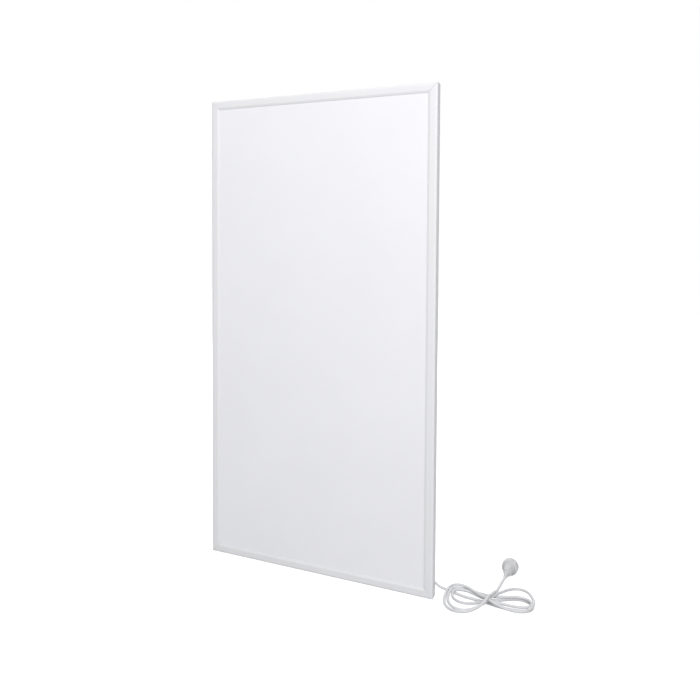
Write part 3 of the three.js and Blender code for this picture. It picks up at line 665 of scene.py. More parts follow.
@dataclass(frozen=True)
class CarbonFilm(Finish):
    """Laminated heating film: dark printed strips under a clear layer."""

    pale: Triple
    pitch: float = 14 * MM

    def paint(self, sketch: ShaderSketch) -> None:
        """Lays out the strips and the clear layer's slight waves."""
        sketch.blend(sketch.stripes(self.pitch, "Z"), [(0.12, self.pale), (0.2, self.color)], "Base Color")
        sketch.mottle("Roughness", 1.5 * MM, 0.3, 0.38)
        sketch.relief((sketch.noise(4 * MM), 0.03 * MM))


@dataclass(frozen=True)
class FlexSheath(Finish):
    """Soft extruded sheath that shows the lay of the cores inside it, read along its own length."""

    lay: float = 55 * MM
    lay_depth: float = 0.05 * MM

    def paint(self, sketch: ShaderSketch) -> None:
        """Lays out handled stretches, an uneven sheen and the lay of the cores."""
        sketch.along_surface()
        sketch.mottle("Base Color", 0.05, tinted(self.color, 0.95), self.color, detail=4, span=(0.35, 0.6))
        sketch.mottle("Roughness", 0.015, 0.42, 0.52, detail=3)
        sketch.relief((sketch.stripes(self.lay, "DIAGONAL"), self.lay_depth),
                      (sketch.noise(0.8 * MM), 0.01 * MM))


@dataclass(frozen=True)
class WireCover(Finish):
    """Thin coloured cover of one core, in one colour or with a second one in bands."""

    second: Triple | None = None
    band: float = 9 * MM

    def paint(self, sketch: ShaderSketch) -> None:
        """Lays out the colour or bands and a slight grain."""
        if self.second:
            bands = [(0.5, self.color), (0.52, self.second)]
            sketch.blend(sketch.stripes(self.band, "DIAGONAL"), bands, "Base Color")
        else:
            sketch.mottle("Base Color", 6 * MM, self.color, tinted(self.color, 0.85))
        sketch.set("Roughness", 0.4)
        sketch.relief((sketch.noise(0.6 * MM), 0.01 * MM))


class Finishes:
    """Every finish of the heater, built once and handed out by the record's slot name."""

    RECIPES = {
        "frame_paint": PowderCoat("frame_powder_coat", (0.81, 0.815, 0.83), roughness=0.52),
        "sheet_paint": PowderCoat("front_textured_coat", (0.88, 0.885, 0.91), roughness=0.55,
                                  peel=0.9 * MM, peel_depth=0.03 * MM),
        "back_paint": PowderCoat("back_coat", (0.82, 0.825, 0.835), roughness=0.5),
        "key_plastic": MouldedPlastic("grey_filled_plastic", (0.26, 0.28, 0.30), roughness=0.55),
        "white_plastic": MouldedPlastic("white_box_plastic", (0.82, 0.825, 0.835)),
        "plug_plastic": MouldedPlastic("plug_vinyl", (0.62, 0.625, 0.635), roughness=0.55),
        "zinc_steel": PlatedMetal("zinc_plate", (0.50, 0.52, 0.54), roughness=0.44),
        "aluminium_rivet": PlatedMetal("rivet_aluminium", (0.74, 0.75, 0.76)),
        "copper": PlatedMetal("copper_strip", (0.72, 0.36, 0.20), streak=(1, 1, 0.05)),
        "brass": PlatedMetal("earth_brass", (0.70, 0.50, 0.20)),
        "plug_metal": PlatedMetal("pin_nickel", (0.72, 0.72, 0.71), roughness=0.2),
        "foil": CrinkledFoil("reflector_foil", (0.84, 0.85, 0.86)),
        "insulation": MineralWool("wool_board", (0.66, 0.55, 0.25)),
        "film": CarbonFilm("heating_film", (0.018, 0.018, 0.02), (0.10, 0.10, 0.11)),
        "cord_rubber": FlexSheath("flex_sheath", (0.70, 0.705, 0.72)),
        "wire_brown": WireCover("core_brown", (0.12, 0.045, 0.02)),
        "wire_blue": WireCover("core_blue", (0.03, 0.13, 0.42)),
        "wire_green": WireCover("core_green_yellow", (0.12, 0.36, 0.04), (0.75, 0.62, 0.05)),
    }

    def __init__(self) -> None:
        """Builds every material."""
        self.made = {slot: recipe.make() for slot, recipe in self.RECIPES.items()}

    def dress(self, made: bpy.types.Object, slot: str) -> None:
        """Gives a piece one finish.

        Args:
            made: The piece or CAD node.
            slot: The record's slot.
        """
        made.data.materials.clear()
        made.data.materials.append(self.made[slot])

    def dress_nodes(self, record: dict) -> None:
        """Dresses every CAD node by the record's list of pieces."""
        for row in record["subparts"]:
            self.dress(frame["nodes"][row["node"]], row["material_slot"])

    def place(self, made: bpy.types.Object, slot: str, *nodes: str) -> None:
        """Dresses a finished piece, rides it on the panel and lets it stand for CAD nodes.

        Args:
            made: The piece.
            slot: The record's slot.
            nodes: The nodes that it stands for.
        """
        self.dress(made, slot)
        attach(made, BODY)
        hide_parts(*nodes)
        log.info("%-24s %6d faces, for %s", made.name, len(made.data.polygons), ", ".join(nodes))


# ---- camera, room


@dataclass
class Studio:
    """Camera, floor and lights."""

    place: Triple = (0.6945, -1.6354, 0.8538)
    azimuth: float = 25.389
    elevation: float = 2.13
    roll: float = 0.16
    lens: float = 36.452
    sensor: float = 36.0
    view_depth: float = 50.0
    shift: tuple[float, float] = (0.0854, -0.1283)
    floor_size: float = 14.0
    key_place: Triple = (1.25, -2.75, 2.6)
    key_size: float = 2.4
    key_power: float = 103.5
    world_strength: float = 0.36
    floor_color: float = 0.5
    floor_glow: float = 0.86
    fill_place: Triple = (-1.2, 2.8, 2.2)
    fill_size: float = 3.0
    fill_power: float = 60.0
    floor_roughness: float = 0.9
    world_color: Triple = (0.965, 1.0, 0.985)
    lamp_color: Triple = (1.0, 0.98, 1.0)
    lamp_aim: Triple = (0.05, 0, 0.7)

    def camera(self) -> None:
        """Puts the camera where the photograph was taken from."""
        turn, lift = math.radians(self.azimuth), math.radians(self.elevation)
        back = Vector((math.sin(turn) * math.cos(lift), -math.cos(turn) * math.cos(lift), math.sin(lift)))
        lens = bpy.data.cameras.new("camera")
        lens.lens = self.lens
        lens.sensor_width = self.sensor
        lens.shift_x, lens.shift_y = self.shift
        lens.clip_end = self.view_depth
        holder = piece("camera", lens)
        holder.location = self.place
        level = (-back).to_track_quat("-Z", "Y").to_matrix()
        tilt = Matrix.Rotation(math.radians(self.roll), 3, "Z")
        holder.rotation_euler = (level @ tilt).to_euler()
        bpy.context.scene.camera = holder

    def floor(self) -> None:
        """Lays a pale floor that stays white to the camera and keeps the shadow."""
        half = self.floor_size / 2
        bm = bmesh.new()
        bm.faces.new([bm.verts.new(v) for v in
                      ((-half, -half, 0), (half, -half, 0), (half, half, 0), (-half, half, 0))])
        ground = solid("floor", bm)
        material = bpy.data.materials.new("pale_floor")
        material.use_nodes = True
        tree = material.node_tree
        surface = tree.nodes["Principled BSDF"]
        surface.inputs["Base Color"].default_value = (*[self.floor_color] * 3, 1)
        surface.inputs["Roughness"].default_value = self.floor_roughness
        surface.inputs["Specular IOR Level"].default_value = 0.0
        surface.inputs["Emission Color"].default_value = (1, 1, 1, 1)
        lift = tree.nodes.new("ShaderNodeMath")
        lift.operation = "MULTIPLY"
        lift.inputs[1].default_value = self.floor_glow
        tree.links.new(self.seen(tree), lift.inputs[0])
        tree.links.new(lift.outputs[0], surface.inputs["Emission Strength"])
        ground.data.materials.append(material)

    @staticmethod
    def seen(tree: bpy.types.NodeTree) -> bpy.types.NodeSocket:
        """One for rays from the camera, a mirror or glass, and zero for light on the object."""
        rays = tree.nodes.new("ShaderNodeLightPath")
        total = rays.outputs["Is Camera Ray"]
        for kind in ("Is Glossy Ray", "Is Transmission Ray"):
            node = tree.nodes.new("ShaderNodeMath")
            node.operation = "MAXIMUM"
            tree.links.new(total, node.inputs[0])
            tree.links.new(rays.outputs[kind], node.inputs[1])
            total = node.outputs[0]
        return total

    def world(self) -> None:
        """Fills the room with soft light and shows white behind the heater."""
        world = bpy.data.worlds.new("room")
        world.use_nodes = True
        bpy.context.scene.world = world
        tree = world.node_tree
        light = tree.nodes["Background"]
        light.inputs["Color"].default_value = (*self.world_color, 1)
        light.inputs["Strength"].default_value = self.world_strength
        white = tree.nodes.new("ShaderNodeBackground")
        white.inputs["Color"].default_value = (1, 1, 1, 1)
        white.inputs["Strength"].default_value = 1.0
        mix = tree.nodes.new("ShaderNodeMixShader")
        tree.links.new(self.seen(tree), mix.inputs["Fac"])
        tree.links.new(light.outputs[0], mix.inputs[1])
        tree.links.new(white.outputs[0], mix.inputs[2])
        tree.links.new(mix.outputs[0], tree.nodes["World Output"].inputs["Surface"])

    def lamp(self, name: str, place: Triple, size: float, power: float) -> None:
        """Hangs one broad soft lamp that points at the panel.

        Args:
            name: The lamp's name.
            place: Where it hangs.
            size: Length of its sides.
            power: Its power in watts.
        """
        light = bpy.data.lights.new(name, "AREA")
        light.shape = "SQUARE"
        light.size = size
        light.energy = power
        light.color = self.lamp_color
        holder = piece(name, light)
        holder.location = place
        aim = Vector(self.lamp_aim) - Vector(place)
        holder.rotation_euler = aim.to_track_quat("-Z", "Y").to_euler()

    def build(self) -> None:
        """Sets up the whole room."""
        self.camera()
        self.floor()
        self.world()
        self.lamp("key", self.key_place, self.key_size, self.key_power)
        self.lamp("fill", self.fill_place, self.fill_size, self.fill_power)
        bpy.context.scene.view_settings.view_transform = "Standard"


# ---- flex


@dataclass
class Flex:
    """Mains flex: from the boot down to the floor, round a loose figure of eight and on to the plug."""

    diameter: float = 6.4 * MM
    sides: int = 18
    step: float = 2.5 * MM
    apart: float = 24 * MM
    room: float = 0.3 * MM
    layings: int = 10
    spreads: int = 60
    window: int = 17
    settlings: int = 300
    spline_power: float = 0.75
    spline_steps: int = 16
    clear_of_boot: int = 3
    stub_gap: float = 0.3 * MM
    stub_rings: int = 12
    front: float = 0.0
    lead: tuple[Triple, ...] = (
        (222, 35.45, 52), (230.3, 35.5, 52), (240, 35.5, 51.8), (252, 35.5, 49.6), (268, 35.6, 42.8),
        (284, 35.7, 33.3), (300, 36, 23.6), (310, 36.2, 17.6), (319.2, 36.6, 12.6))
    tail: tuple[Triple, ...] = (
        (429.8, 84.5, 8.2), (429.2, 90, 6.2), (429.2, 97, 4.4), (429.9, 104, 3.5), (431.4, 112, 4.4),
        (433.7, 120, 7.6), (436.7, 128.5, 12.6), (439.6, 137, 17.2), (441.2, 142.8, 19.3),
        (441.6, 146.6, 19.5))
    close_x: Triple = (0.976, 0.021, 7.0)
    close_y: Triple = (0.024, 0.929, -6.4)
    loops: tuple[tuple[float, float], ...] = (
        # under everything, from the panel to the crossing
        (331, 36.5), (345, 35.5), (361, 34), (386, 35), (405, 36), (421, 34.5),
        # lower fold on the right
        (437, 31), (456, 28), (476, 26.5), (493, 28.5), (508, 33), (518, 42.5), (521.5, 56), (518, 70),
        (508, 80), (493, 84), (477, 78), (460, 65), (444, 50),
        # inner loop on the left
        (428, 36), (410, 21), (394, 8), (380, 0), (366, -3), (353, 1), (344.5, 10), (341, 23),
        (344.5, 36), (353, 45), (366, 49), (381, 45), (396, 37), (410, 29), (425, 25),
        # upper fold on the right
        (441, 25), (460, 26.5), (478, 27.5), (493, 30), (507, 34.5), (516, 43.5), (519.5, 56), (516, 68.5),
        (507, 77), (493, 80), (479, 75.5), (466, 66), (450, 58), (434, 55),
        # middle loop on the left
        (417, 58), (397, 63), (379, 66), (363, 65), (349, 58), (340, 45), (336, 27), (335, 9),
        (338, -8), (345, -21), (356, -31), (370, -35), (385, -32), (400, -21), (413, -5), (424, 14),
        # wide arc on the right
        (435, 42), (445, 80), (454, 107), (466, 125), (482, 133), (497, 127), (509, 108), (518, 82),
        (524, 56), (521, 34), (512, 18), (499, 8), (482, 4), (464, 4), (446, 6), (428, 11),
        # outer loop on the left, on top
        (409, 23), (389, 40), (372, 55), (356, 62), (341, 59), (332, 46), (329, 27), (329, 6),
        (331, -14), (339, -34), (351, -44), (367, -48), (385, -44), (401, -34), (415, -18), (425, 0),
        # over the crossing towards the plug
        (431, 24), (433.5, 50))

    @staticmethod
    def run(points: np.ndarray) -> np.ndarray:
        """Length along a line at each of its points."""
        return np.r_[0, np.cumsum(np.linalg.norm(np.diff(points, axis=0), axis=1))]

    def smooth_curve(self, points: np.ndarray) -> tuple[np.ndarray, np.ndarray]:
        """Natural cubic spline through points, cut into even steps.

        Args:
            points: Rows of coordinates.

        Returns:
            The even points, and each given point's length along the curve.
        """
        gap = np.linalg.norm(np.diff(points, axis=0), axis=1) ** self.spline_power
        count = len(points)
        matrix = np.eye(count)
        right = np.zeros_like(points)
        for i in range(1, count - 1):
            matrix[i, i - 1:i + 2] = gap[i - 1], 2 * (gap[i - 1] + gap[i]), gap[i]
            right[i] = 6 * ((points[i + 1] - points[i]) / gap[i] - (points[i] - points[i - 1]) / gap[i - 1])
        bend = np.linalg.solve(matrix, right)
        share = np.arange(self.spline_steps)[:, None] / self.spline_steps
        fine = [(1 - share) * points[i] + share * points[i + 1]
                + (((1 - share) ** 3 - (1 - share)) * bend[i] + (share ** 3 - share) * bend[i + 1])
                * gap[i] ** 2 / 6 for i in range(count - 1)]
        fine = np.vstack([*fine, points[-1:]])
        run = self.run(fine)
        even = np.linspace(0, run[-1], int(round(run[-1] / self.step)) + 1)
        return np.column_stack([np.interp(even, run, line) for line in fine.T]), run[::self.spline_steps]

    def heights(self, plan: np.ndarray, given: np.ndarray, held: np.ndarray) -> np.ndarray:
        """Lays each pass on the floor or on the passes below it, as a springy cable hangs and rests.

        Args:
            plan: The route seen from above.
            given: Heights of the stretches that are fixed.
            held: Where the height is fixed.

        Returns:
            The height at each point.
        """
        skip = int(self.apart / self.step)
        reach = self.diameter + self.room
        floor_level = self.diameter / 2
        height = np.where(held, given, floor_level)
        need = np.full(len(plan), floor_level)
        for _ in range(self.layings):
            for i in range(skip, len(plan)):
                near = ((plan[:i - skip] - plan[i]) ** 2).sum(1)
                under = near < reach ** 2
                if under.any():
                    rise = height[:i - skip][under] + np.sqrt(reach ** 2 - near[under])
                    need[i] = max(floor_level, rise.max())
            height = np.where(held, given, need)
            for _ in range(self.spreads):
                height = np.where(held, given, np.maximum(self.softened(height), need))
        return self.relaxed(height, need, held)

    def softened(self, values: np.ndarray) -> np.ndarray:
        """Running mean over a stretch of cable."""
        window = np.hanning(self.window)
        padded = np.pad(values, self.window // 2, "edge")
        return np.convolve(padded, window / window.sum(), "valid")

    def eased(self, plan: np.ndarray, held: np.ndarray) -> np.ndarray:
        """Softens the bends of a given route, away from its fixed stretches.

        Args:
            plan: The route seen from above.
            held: Where it is fixed.

        Returns:
            The eased route.
        """
        places = np.arange(len(plan))
        away = np.abs(places[:, None] - places[held]).min(1)
        share = np.clip(away / self.window, 0, 1)[:, None]
        soft = np.column_stack([self.softened(line) for line in plan.T])
        return plan + share * (soft - plan)

    def relaxed(self, height: np.ndarray, need: np.ndarray, held: np.ndarray) -> np.ndarray:
        """Straightens the kinks of a stiff cable where it rests on what carries it.

        Args:
            height: Heights to start from.
            need: The lowest that each point may lie.
            held: Where the height is fixed.

        Returns:
            The settled heights.
        """
        free = ~held
        height = np.where(free, np.maximum(height, need), height)
        for _ in range(self.settlings):
            wide = np.pad(height, 2, "edge")
            level = (4 * (wide[1:-3] + wide[3:-1]) - wide[:-4] - wide[4:]) / 6
            height = np.where(free, np.maximum((height + level) / 2, need), height)
        return height

    def route(self) -> np.ndarray:
        """Middle line of the whole flex.

        Returns:
            Points in the row frame, in metres.
        """
        floor_level = self.diameter / 2 / MM
        (xx, xy, x0), (yx, yy, y0) = self.close_x, self.close_y
        laid = [(xx * x + xy * y + x0, yx * x + yy * y + y0, floor_level) for x, y in self.loops]
        points = np.array([*self.lead, *laid, *self.tail]) * MM
        plan, marks = self.smooth_curve(points[:, :2])
        run = np.linspace(0, marks[-1], len(plan))
        held = (run <= marks[len(self.lead) - 2]) | (run >= marks[-len(self.tail)])
        given = np.interp(run, marks, points[:, 2])
        plan = self.eased(plan, held)
        height = self.heights(plan, given, held)
        return np.column_stack([plan[:, 0], plan[:, 1] + self.front, height])

    def tube(self, path: np.ndarray, name: str) -> bpy.types.Mesh:
        """Round tube round a path, with a UV map in metres along and round it.

        Args:
            path: The middle line.
            name: Name of the mesh.

        Returns:
            The closed mesh.
        """
        ahead = np.gradient(path, axis=0)
        ahead /= np.linalg.norm(ahead, axis=1)[:, None]
        side = Vector((0, 0, 1)).cross(Vector(ahead[0])).normalized()
        rings = []
        for here, along in zip(path, ahead):
            along = Vector(along)
            side = (side - along * side.dot(along)).normalized()
            up = along.cross(side)
            rings.append([Vector(here) + self.diameter / 2 * (math.cos(a) * side + math.sin(a) * up)
                          for a in np.linspace(0, 2 * math.pi, self.sides, endpoint=False)])
        mesh = to_mesh(stack_rings(rings), name)
        layer = mesh.uv_layers.new(name="along")
        run = self.run(path)
        girth = math.pi * self.diameter / self.sides
        for face in mesh.polygons:
            spots = [divmod(mesh.loops[loop].vertex_index, self.sides) for loop in face.loop_indices]
            wraps = {spot for _, spot in spots} == {0, self.sides - 1}
            for loop, (ring, spot) in zip(face.loop_indices, spots):
                turn = spot + (self.sides if wraps and spot == 0 else 0)
                layer.data[loop].uv = (run[ring], turn * girth)
        return shade(mesh, angle=60)

    def build(self, finishes: Finishes, carried: Sequence[bpy.types.Object]) -> None:
        """Args:
            finishes: The finishes.
            carried: The plug's pieces; not used.
        """
        path = self.route()
        flex = piece("mains_flex", self.tube(path, "mains_flex"))
        finishes.place(flex, "cord_rubber", "cord_lead", "cord_hank", "cord_tail")
        low, _, middle = extent("flex_inner")
        places = np.linspace(low.x, path[0][0] - self.stub_gap, self.stub_rings)
        inside = np.array([(x, middle.y, middle.z) for x in places])
        stub = piece("flex_in_boot", self.tube(inside, "flex_in_boot"))
        finishes.place(stub, "cord_rubber", "flex_inner")


# ---- frame


@dataclass
class RailFrame:
    """Four mitred rails, each a hollow section pushed along its side of the panel by a node tree."""

    face: float = 22 * MM
    round_width: float = 6 * MM
    round_depth: float = 3 * MM
    bevel_width: float = 5 * MM
    bevel_depth: float = 1.8 * MM
    flange: float = 2.4 * MM
    channel: float = 12 * MM
    wall: float = 1.5 * MM
    back_flange: float = 8 * MM
    gap: float = 0.3 * MM
    edge: float = 0.5 * MM
    round_steps: int = 12
    screw_along: float = 30 * MM
    screw_bore: float = 4.2 * MM

    def section(self, depth: float) -> tuple[Outline, Outline]:
        """Outer and inner outline of a rail, across it and from its front to its back.

        Args:
            depth: The rail's depth.

        Returns:
            The outer and the inner outline, as distance from the panel's edge and depth.
        """
        outer = [(0, depth, self.edge), (0, self.round_depth, 0)]
        for step in range(1, self.round_steps):
            angle = step / self.round_steps * math.pi / 2
            outer.append((self.round_width * (1 - math.cos(angle)),
                          self.round_depth * (1 - math.sin(angle)), 0))
        outer += [(self.round_width, 0, 0), (self.face - self.bevel_width, 0, 2 * self.edge),
                  (self.face, self.bevel_depth, self.edge / 2), (self.face, self.flange, 0),
                  (self.channel, self.flange, 0), (self.channel, depth - self.wall, 0),
                  (self.channel + self.back_flange, depth - self.wall, self.edge / 2),
                  (self.channel + self.back_flange, depth, self.edge / 2)]
        near, far = self.wall, self.channel - self.wall
        inner = [(near, self.flange), (far, self.flange), (far, depth - self.wall), (near, depth - self.wall)]
        return filleted(outer), inner

    def section_mesh(self, depth: float) -> bpy.types.Mesh:
        """Flat section in the YZ plane, with its hollow."""
        bm = bmesh.new()
        edges = []
        for outline in self.section(depth):
            verts = [bm.verts.new((0, y, u)) for u, y in outline]
            edges += [bm.edges.new((a, b)) for a, b in zip(verts, verts[1:] + verts[:1])]
        bmesh.ops.triangle_fill(bm, edges=edges, use_beauty=True)
        bmesh.ops.recalc_face_normals(bm, faces=bm.faces)
        bm.faces.ensure_lookup_table()
        if bm.faces[0].normal.x < 0:
            bmesh.ops.reverse_faces(bm, faces=bm.faces)
        mesh = bpy.data.meshes.new("rail_section")
        bm.to_mesh(mesh)
        bm.free()
        return mesh

    def tree(self) -> GrowthTree:
        """Tree that pushes a section along -X and cuts both ends at 45 degrees."""
        growth = GrowthTree("mitred_rail")
        length = growth.value("Length")
        gap = growth.value("Gap")
        pushed = growth.add("GeometryNodeExtrudeMesh", {"mode": "FACES"}, Mesh=growth.start.outputs[0],
                            Offset=growth.add("ShaderNodeCombineXYZ", X=-1.0).outputs[0],
                            Offset_Scale=length, Individual=False)
        joined = growth.add("GeometryNodeJoinGeometry")
        for source in (pushed.outputs[0], growth.start.outputs[0]):
            growth.tree.links.new(source, joined.inputs[0])
        welded = growth.add("GeometryNodeMergeByDistance", Geometry=joined.outputs[0], Distance=TINY)
        spot = growth.add("GeometryNodeInputPosition").outputs[0]
        here = growth.add("ShaderNodeSeparateXYZ", Vector=spot)
        mitre = growth.math("ADD", here.outputs["Z"], growth.math("DIVIDE", gap, math.sqrt(2)))
        at_start = growth.math("GREATER_THAN", here.outputs["X"], growth.math("MULTIPLY", length, -0.5))
        side = growth.math("SUBTRACT", growth.math("MULTIPLY", at_start, -2.0), -1.0)
        move = growth.add("ShaderNodeCombineXYZ", X=growth.math("MULTIPLY", side, mitre))
        cut_ends = growth.add("GeometryNodeSetPosition", Geometry=welded.outputs[0], Offset=move.outputs[0])
        growth.finish(cut_ends.outputs[0])
        return growth

    def build(self, finishes: Finishes) -> None:
        """Makes the four rails.

        Args:
            finishes: The finishes.
        """
        growth = self.tree()
        for corner in Corner:
            low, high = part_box(corner.rail)
            depth = high.y - low.y
            level = corner in (Corner.BOTTOM_RIGHT, Corner.TOP_LEFT)
            span = (high.x - low.x if level else high.z - low.z) + 2 * self.gap / math.sqrt(2)
            made = piece(f"rail_{corner.rail.removeprefix('frame_')}", self.section_mesh(depth))
            growth.grow(made, Length=span, Gap=self.gap, Material=finishes.made["frame_paint"])
            bores = []
            for along in (self.screw_along, span - self.screw_along):
                hole = peg(self.screw_bore, depth - 2 * self.wall, depth + MM)
                bores.append(to_mesh(hole, "bore", at(-along, 0, self.channel / 2)))
            carve(made, bores)
            x, z = self.corner_place(corner)
            made.data.transform(at(x, low.y, z) @ Matrix.Rotation(corner.turn, 4, "Y"))
            bm = bmesh.new()
            bm.from_mesh(made.data)
            made.data = shade(to_mesh(bm, made.name), angle=28)
            finishes.place(made, "frame_paint", corner.rail)

    @staticmethod
    def corner_place(corner: Corner) -> tuple[float, float]:
        """Outer corner point of the panel, in x and z."""
        low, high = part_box("frame_left")[0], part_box("frame_right")[1]
        x = high.x if "right" in corner.label else low.x
        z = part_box("frame_top")[1].z if "top" in corner.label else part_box("frame_bottom")[0].z
        return x, z


# ---- fasteners


@dataclass(frozen=True)
class Fastener:
    """A pan-head screw with a cross recess, or a blind rivet, about its own axis."""

    head: float
    head_height: float
    shank: float
    length: float
    recess: float = 0.0
    rim: float = 0.45
    recess_arm: float = 0.26
    recess_depth: float = 0.75
    overcut: float = 0.01 * MM
    dimple: float = 0.9 * MM

    SIDES = 28
    # Outlines as shares of a width and a height.
    SEAT = ((0.96, 0), (1, 0.06))
    BULB = ((0, 1), (0.3, 1), (0.46, 0.8), (0.5, 0.5), (0.44, 0.15))
    DOME = ((0.97, 0), (1, 0.12), (0.93, 0.45), (0.72, 0.8), (0.45, 1))

    def screw(self) -> bpy.types.Mesh:
        """Screw with its head's underside at y = 0 and its shank towards -Y."""
        radius, rise, shank = self.head / 2, self.head_height, self.shank / 2
        dome = [(radius * x, rise * (self.rim + (1 - self.rim) * y)) for x, y in arc((0, 0), 1, 0, 90)[:-1]]
        seat = [(radius * x, rise * y) for x, y in self.SEAT]
        profile = [(0, -self.length), (0.4 * shank, -self.length), (shank, shank - self.length), (shank, 0),
                   *seat, *dome, (0, rise)]
        made = solid("screw", turned(profile, self.SIDES))
        arm, deep = self.recess_arm * self.recess, self.recess_depth * rise
        middle = (0, rise - deep / 2 + self.overcut, 0)
        carve(made, [to_mesh(bar((wide, deep, tall), middle), "arm")
                     for wide, tall in ((self.recess, arm), (arm, self.recess))])
        return shade(taken(made))

    def rivet(self, grip: float, bulb: float, bulb_length: float) -> bpy.types.Mesh:
        """Set rivet with the underside of its head at y = 0.

        Args:
            grip: Distance from the head's underside to the plate's inner face.
            bulb: Width of the set bulb.
            bulb_length: Its length.

        Returns:
            The mesh.
        """
        radius, rise = self.head / 2, self.head_height
        profile = [(bulb * x, -grip - bulb_length * y) for x, y in self.BULB]
        profile += [(self.shank / 2, -grip), (self.shank / 2, 0)]
        profile += [(radius * x, rise * y) for x, y in self.DOME]
        profile += [(self.dimple, rise), (self.dimple * 0.9, rise * 0.55), (0, rise * 0.5)]
        return shade(to_mesh(turned(profile, self.SIDES), "rivet"))


class Scatter:
    """Puts copies of one mesh on points by a node tree, as one piece."""

    def __init__(self) -> None:
        """Builds the tree."""
        self.growth = GrowthTree("copies_on_points")
        source = self.growth.value("Copy", "NodeSocketObject")
        copy = self.growth.add("GeometryNodeObjectInfo", Object=source)
        spots = self.growth.add("GeometryNodeMeshToPoints", Mesh=self.growth.start.outputs[0])
        placed = self.growth.add("GeometryNodeInstanceOnPoints", Points=spots.outputs[0],
                                 Instance=copy.outputs["Geometry"])
        self.growth.finish(placed.outputs[0])

    def place(self, name: str, mesh: bpy.types.Mesh, spots: Sequence[Vector],
              material: bpy.types.Material) -> bpy.types.Object:
        """Makes one piece of copies.

        Args:
            name: The piece's name.
            mesh: The mesh to copy.
            spots: Where the copies go.
            material: Their finish.

        Returns:
            The piece.
        """
        cloud = bpy.data.meshes.new(name)
        cloud.from_pydata([tuple(spot) for spot in spots], [], [])
        made = piece(name, cloud)
        source = piece("copy", mesh)
        self.growth.grow(made, Copy=source, Material=material)
        bpy.data.objects.remove(source)
        return made


@dataclass
class Fasteners:
    """Every screw and rivet on the back of the panel and in the box."""

    key_screw: Fastener = Fastener(7 * MM, 2.4 * MM, 3.6 * MM, 12 * MM, recess=3.8 * MM)
    lid_screw: Fastener = Fastener(5.6 * MM, 2 * MM, 3 * MM, 10 * MM, recess=3 * MM)
    floor_screw: Fastener = Fastener(5.6 * MM, 2 * MM, 3 * MM, 6 * MM, recess=3 * MM)
    hanger_rivet: Fastener = Fastener(8 * MM, 1.4 * MM, 4 * MM, 6 * MM)
    bulb: float = 6 * MM
    bulb_length: float = 3 * MM

    def heads(self, nodes: Sequence[str], fastener: Fastener) -> list[Vector]:
        """Places of the undersides of the heads of nodes, all facing the wall."""
        boxes = [extent(node) for node in nodes]
        return [Vector((middle.x, high.y - fastener.head_height, middle.z)) for _, high, middle in boxes]

    def build(self, finishes: Finishes, scatter: Scatter) -> None:
        """Makes all fasteners.

        Args:
            finishes: The finishes.
            scatter: The tree that copies them.
        """
        corners = [corner.label for corner in Corner]
        groups = [
            ("corner_screws", self.key_screw, "zinc_steel",
             [f"corner_screw_{corner}_{number}" for corner in corners for number in (1, 2)]),
            ("lid_screws", self.lid_screw, "zinc_steel", ["lid_screw_1", "lid_screw_2"]),
            ("box_screws", self.floor_screw, "zinc_steel", ["box_screw_1", "box_screw_2"]),
            ("earth_stud", self.floor_screw, "brass", ["earth_screw"]),
        ]
        for name, fastener, slot, nodes in groups:
            made = scatter.place(name, fastener.screw(), self.heads(nodes, fastener), finishes.made[slot])
            finishes.place(made, slot, *nodes)
        nodes = [f"hanger_rivet_{corner}_{side}" for corner in corners for side in ("left", "right")]
        low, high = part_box(nodes[0])
        grip = high.y - low.y - self.hanger_rivet.head_height - self.bulb_length
        mesh = self.hanger_rivet.rivet(grip, self.bulb, self.bulb_length)
        made = scatter.place("hanger_rivets", mesh, self.heads(nodes, self.hanger_rivet),
                             finishes.made["aluminium_rivet"])
        finishes.place(made, "aluminium_rivet", *nodes)


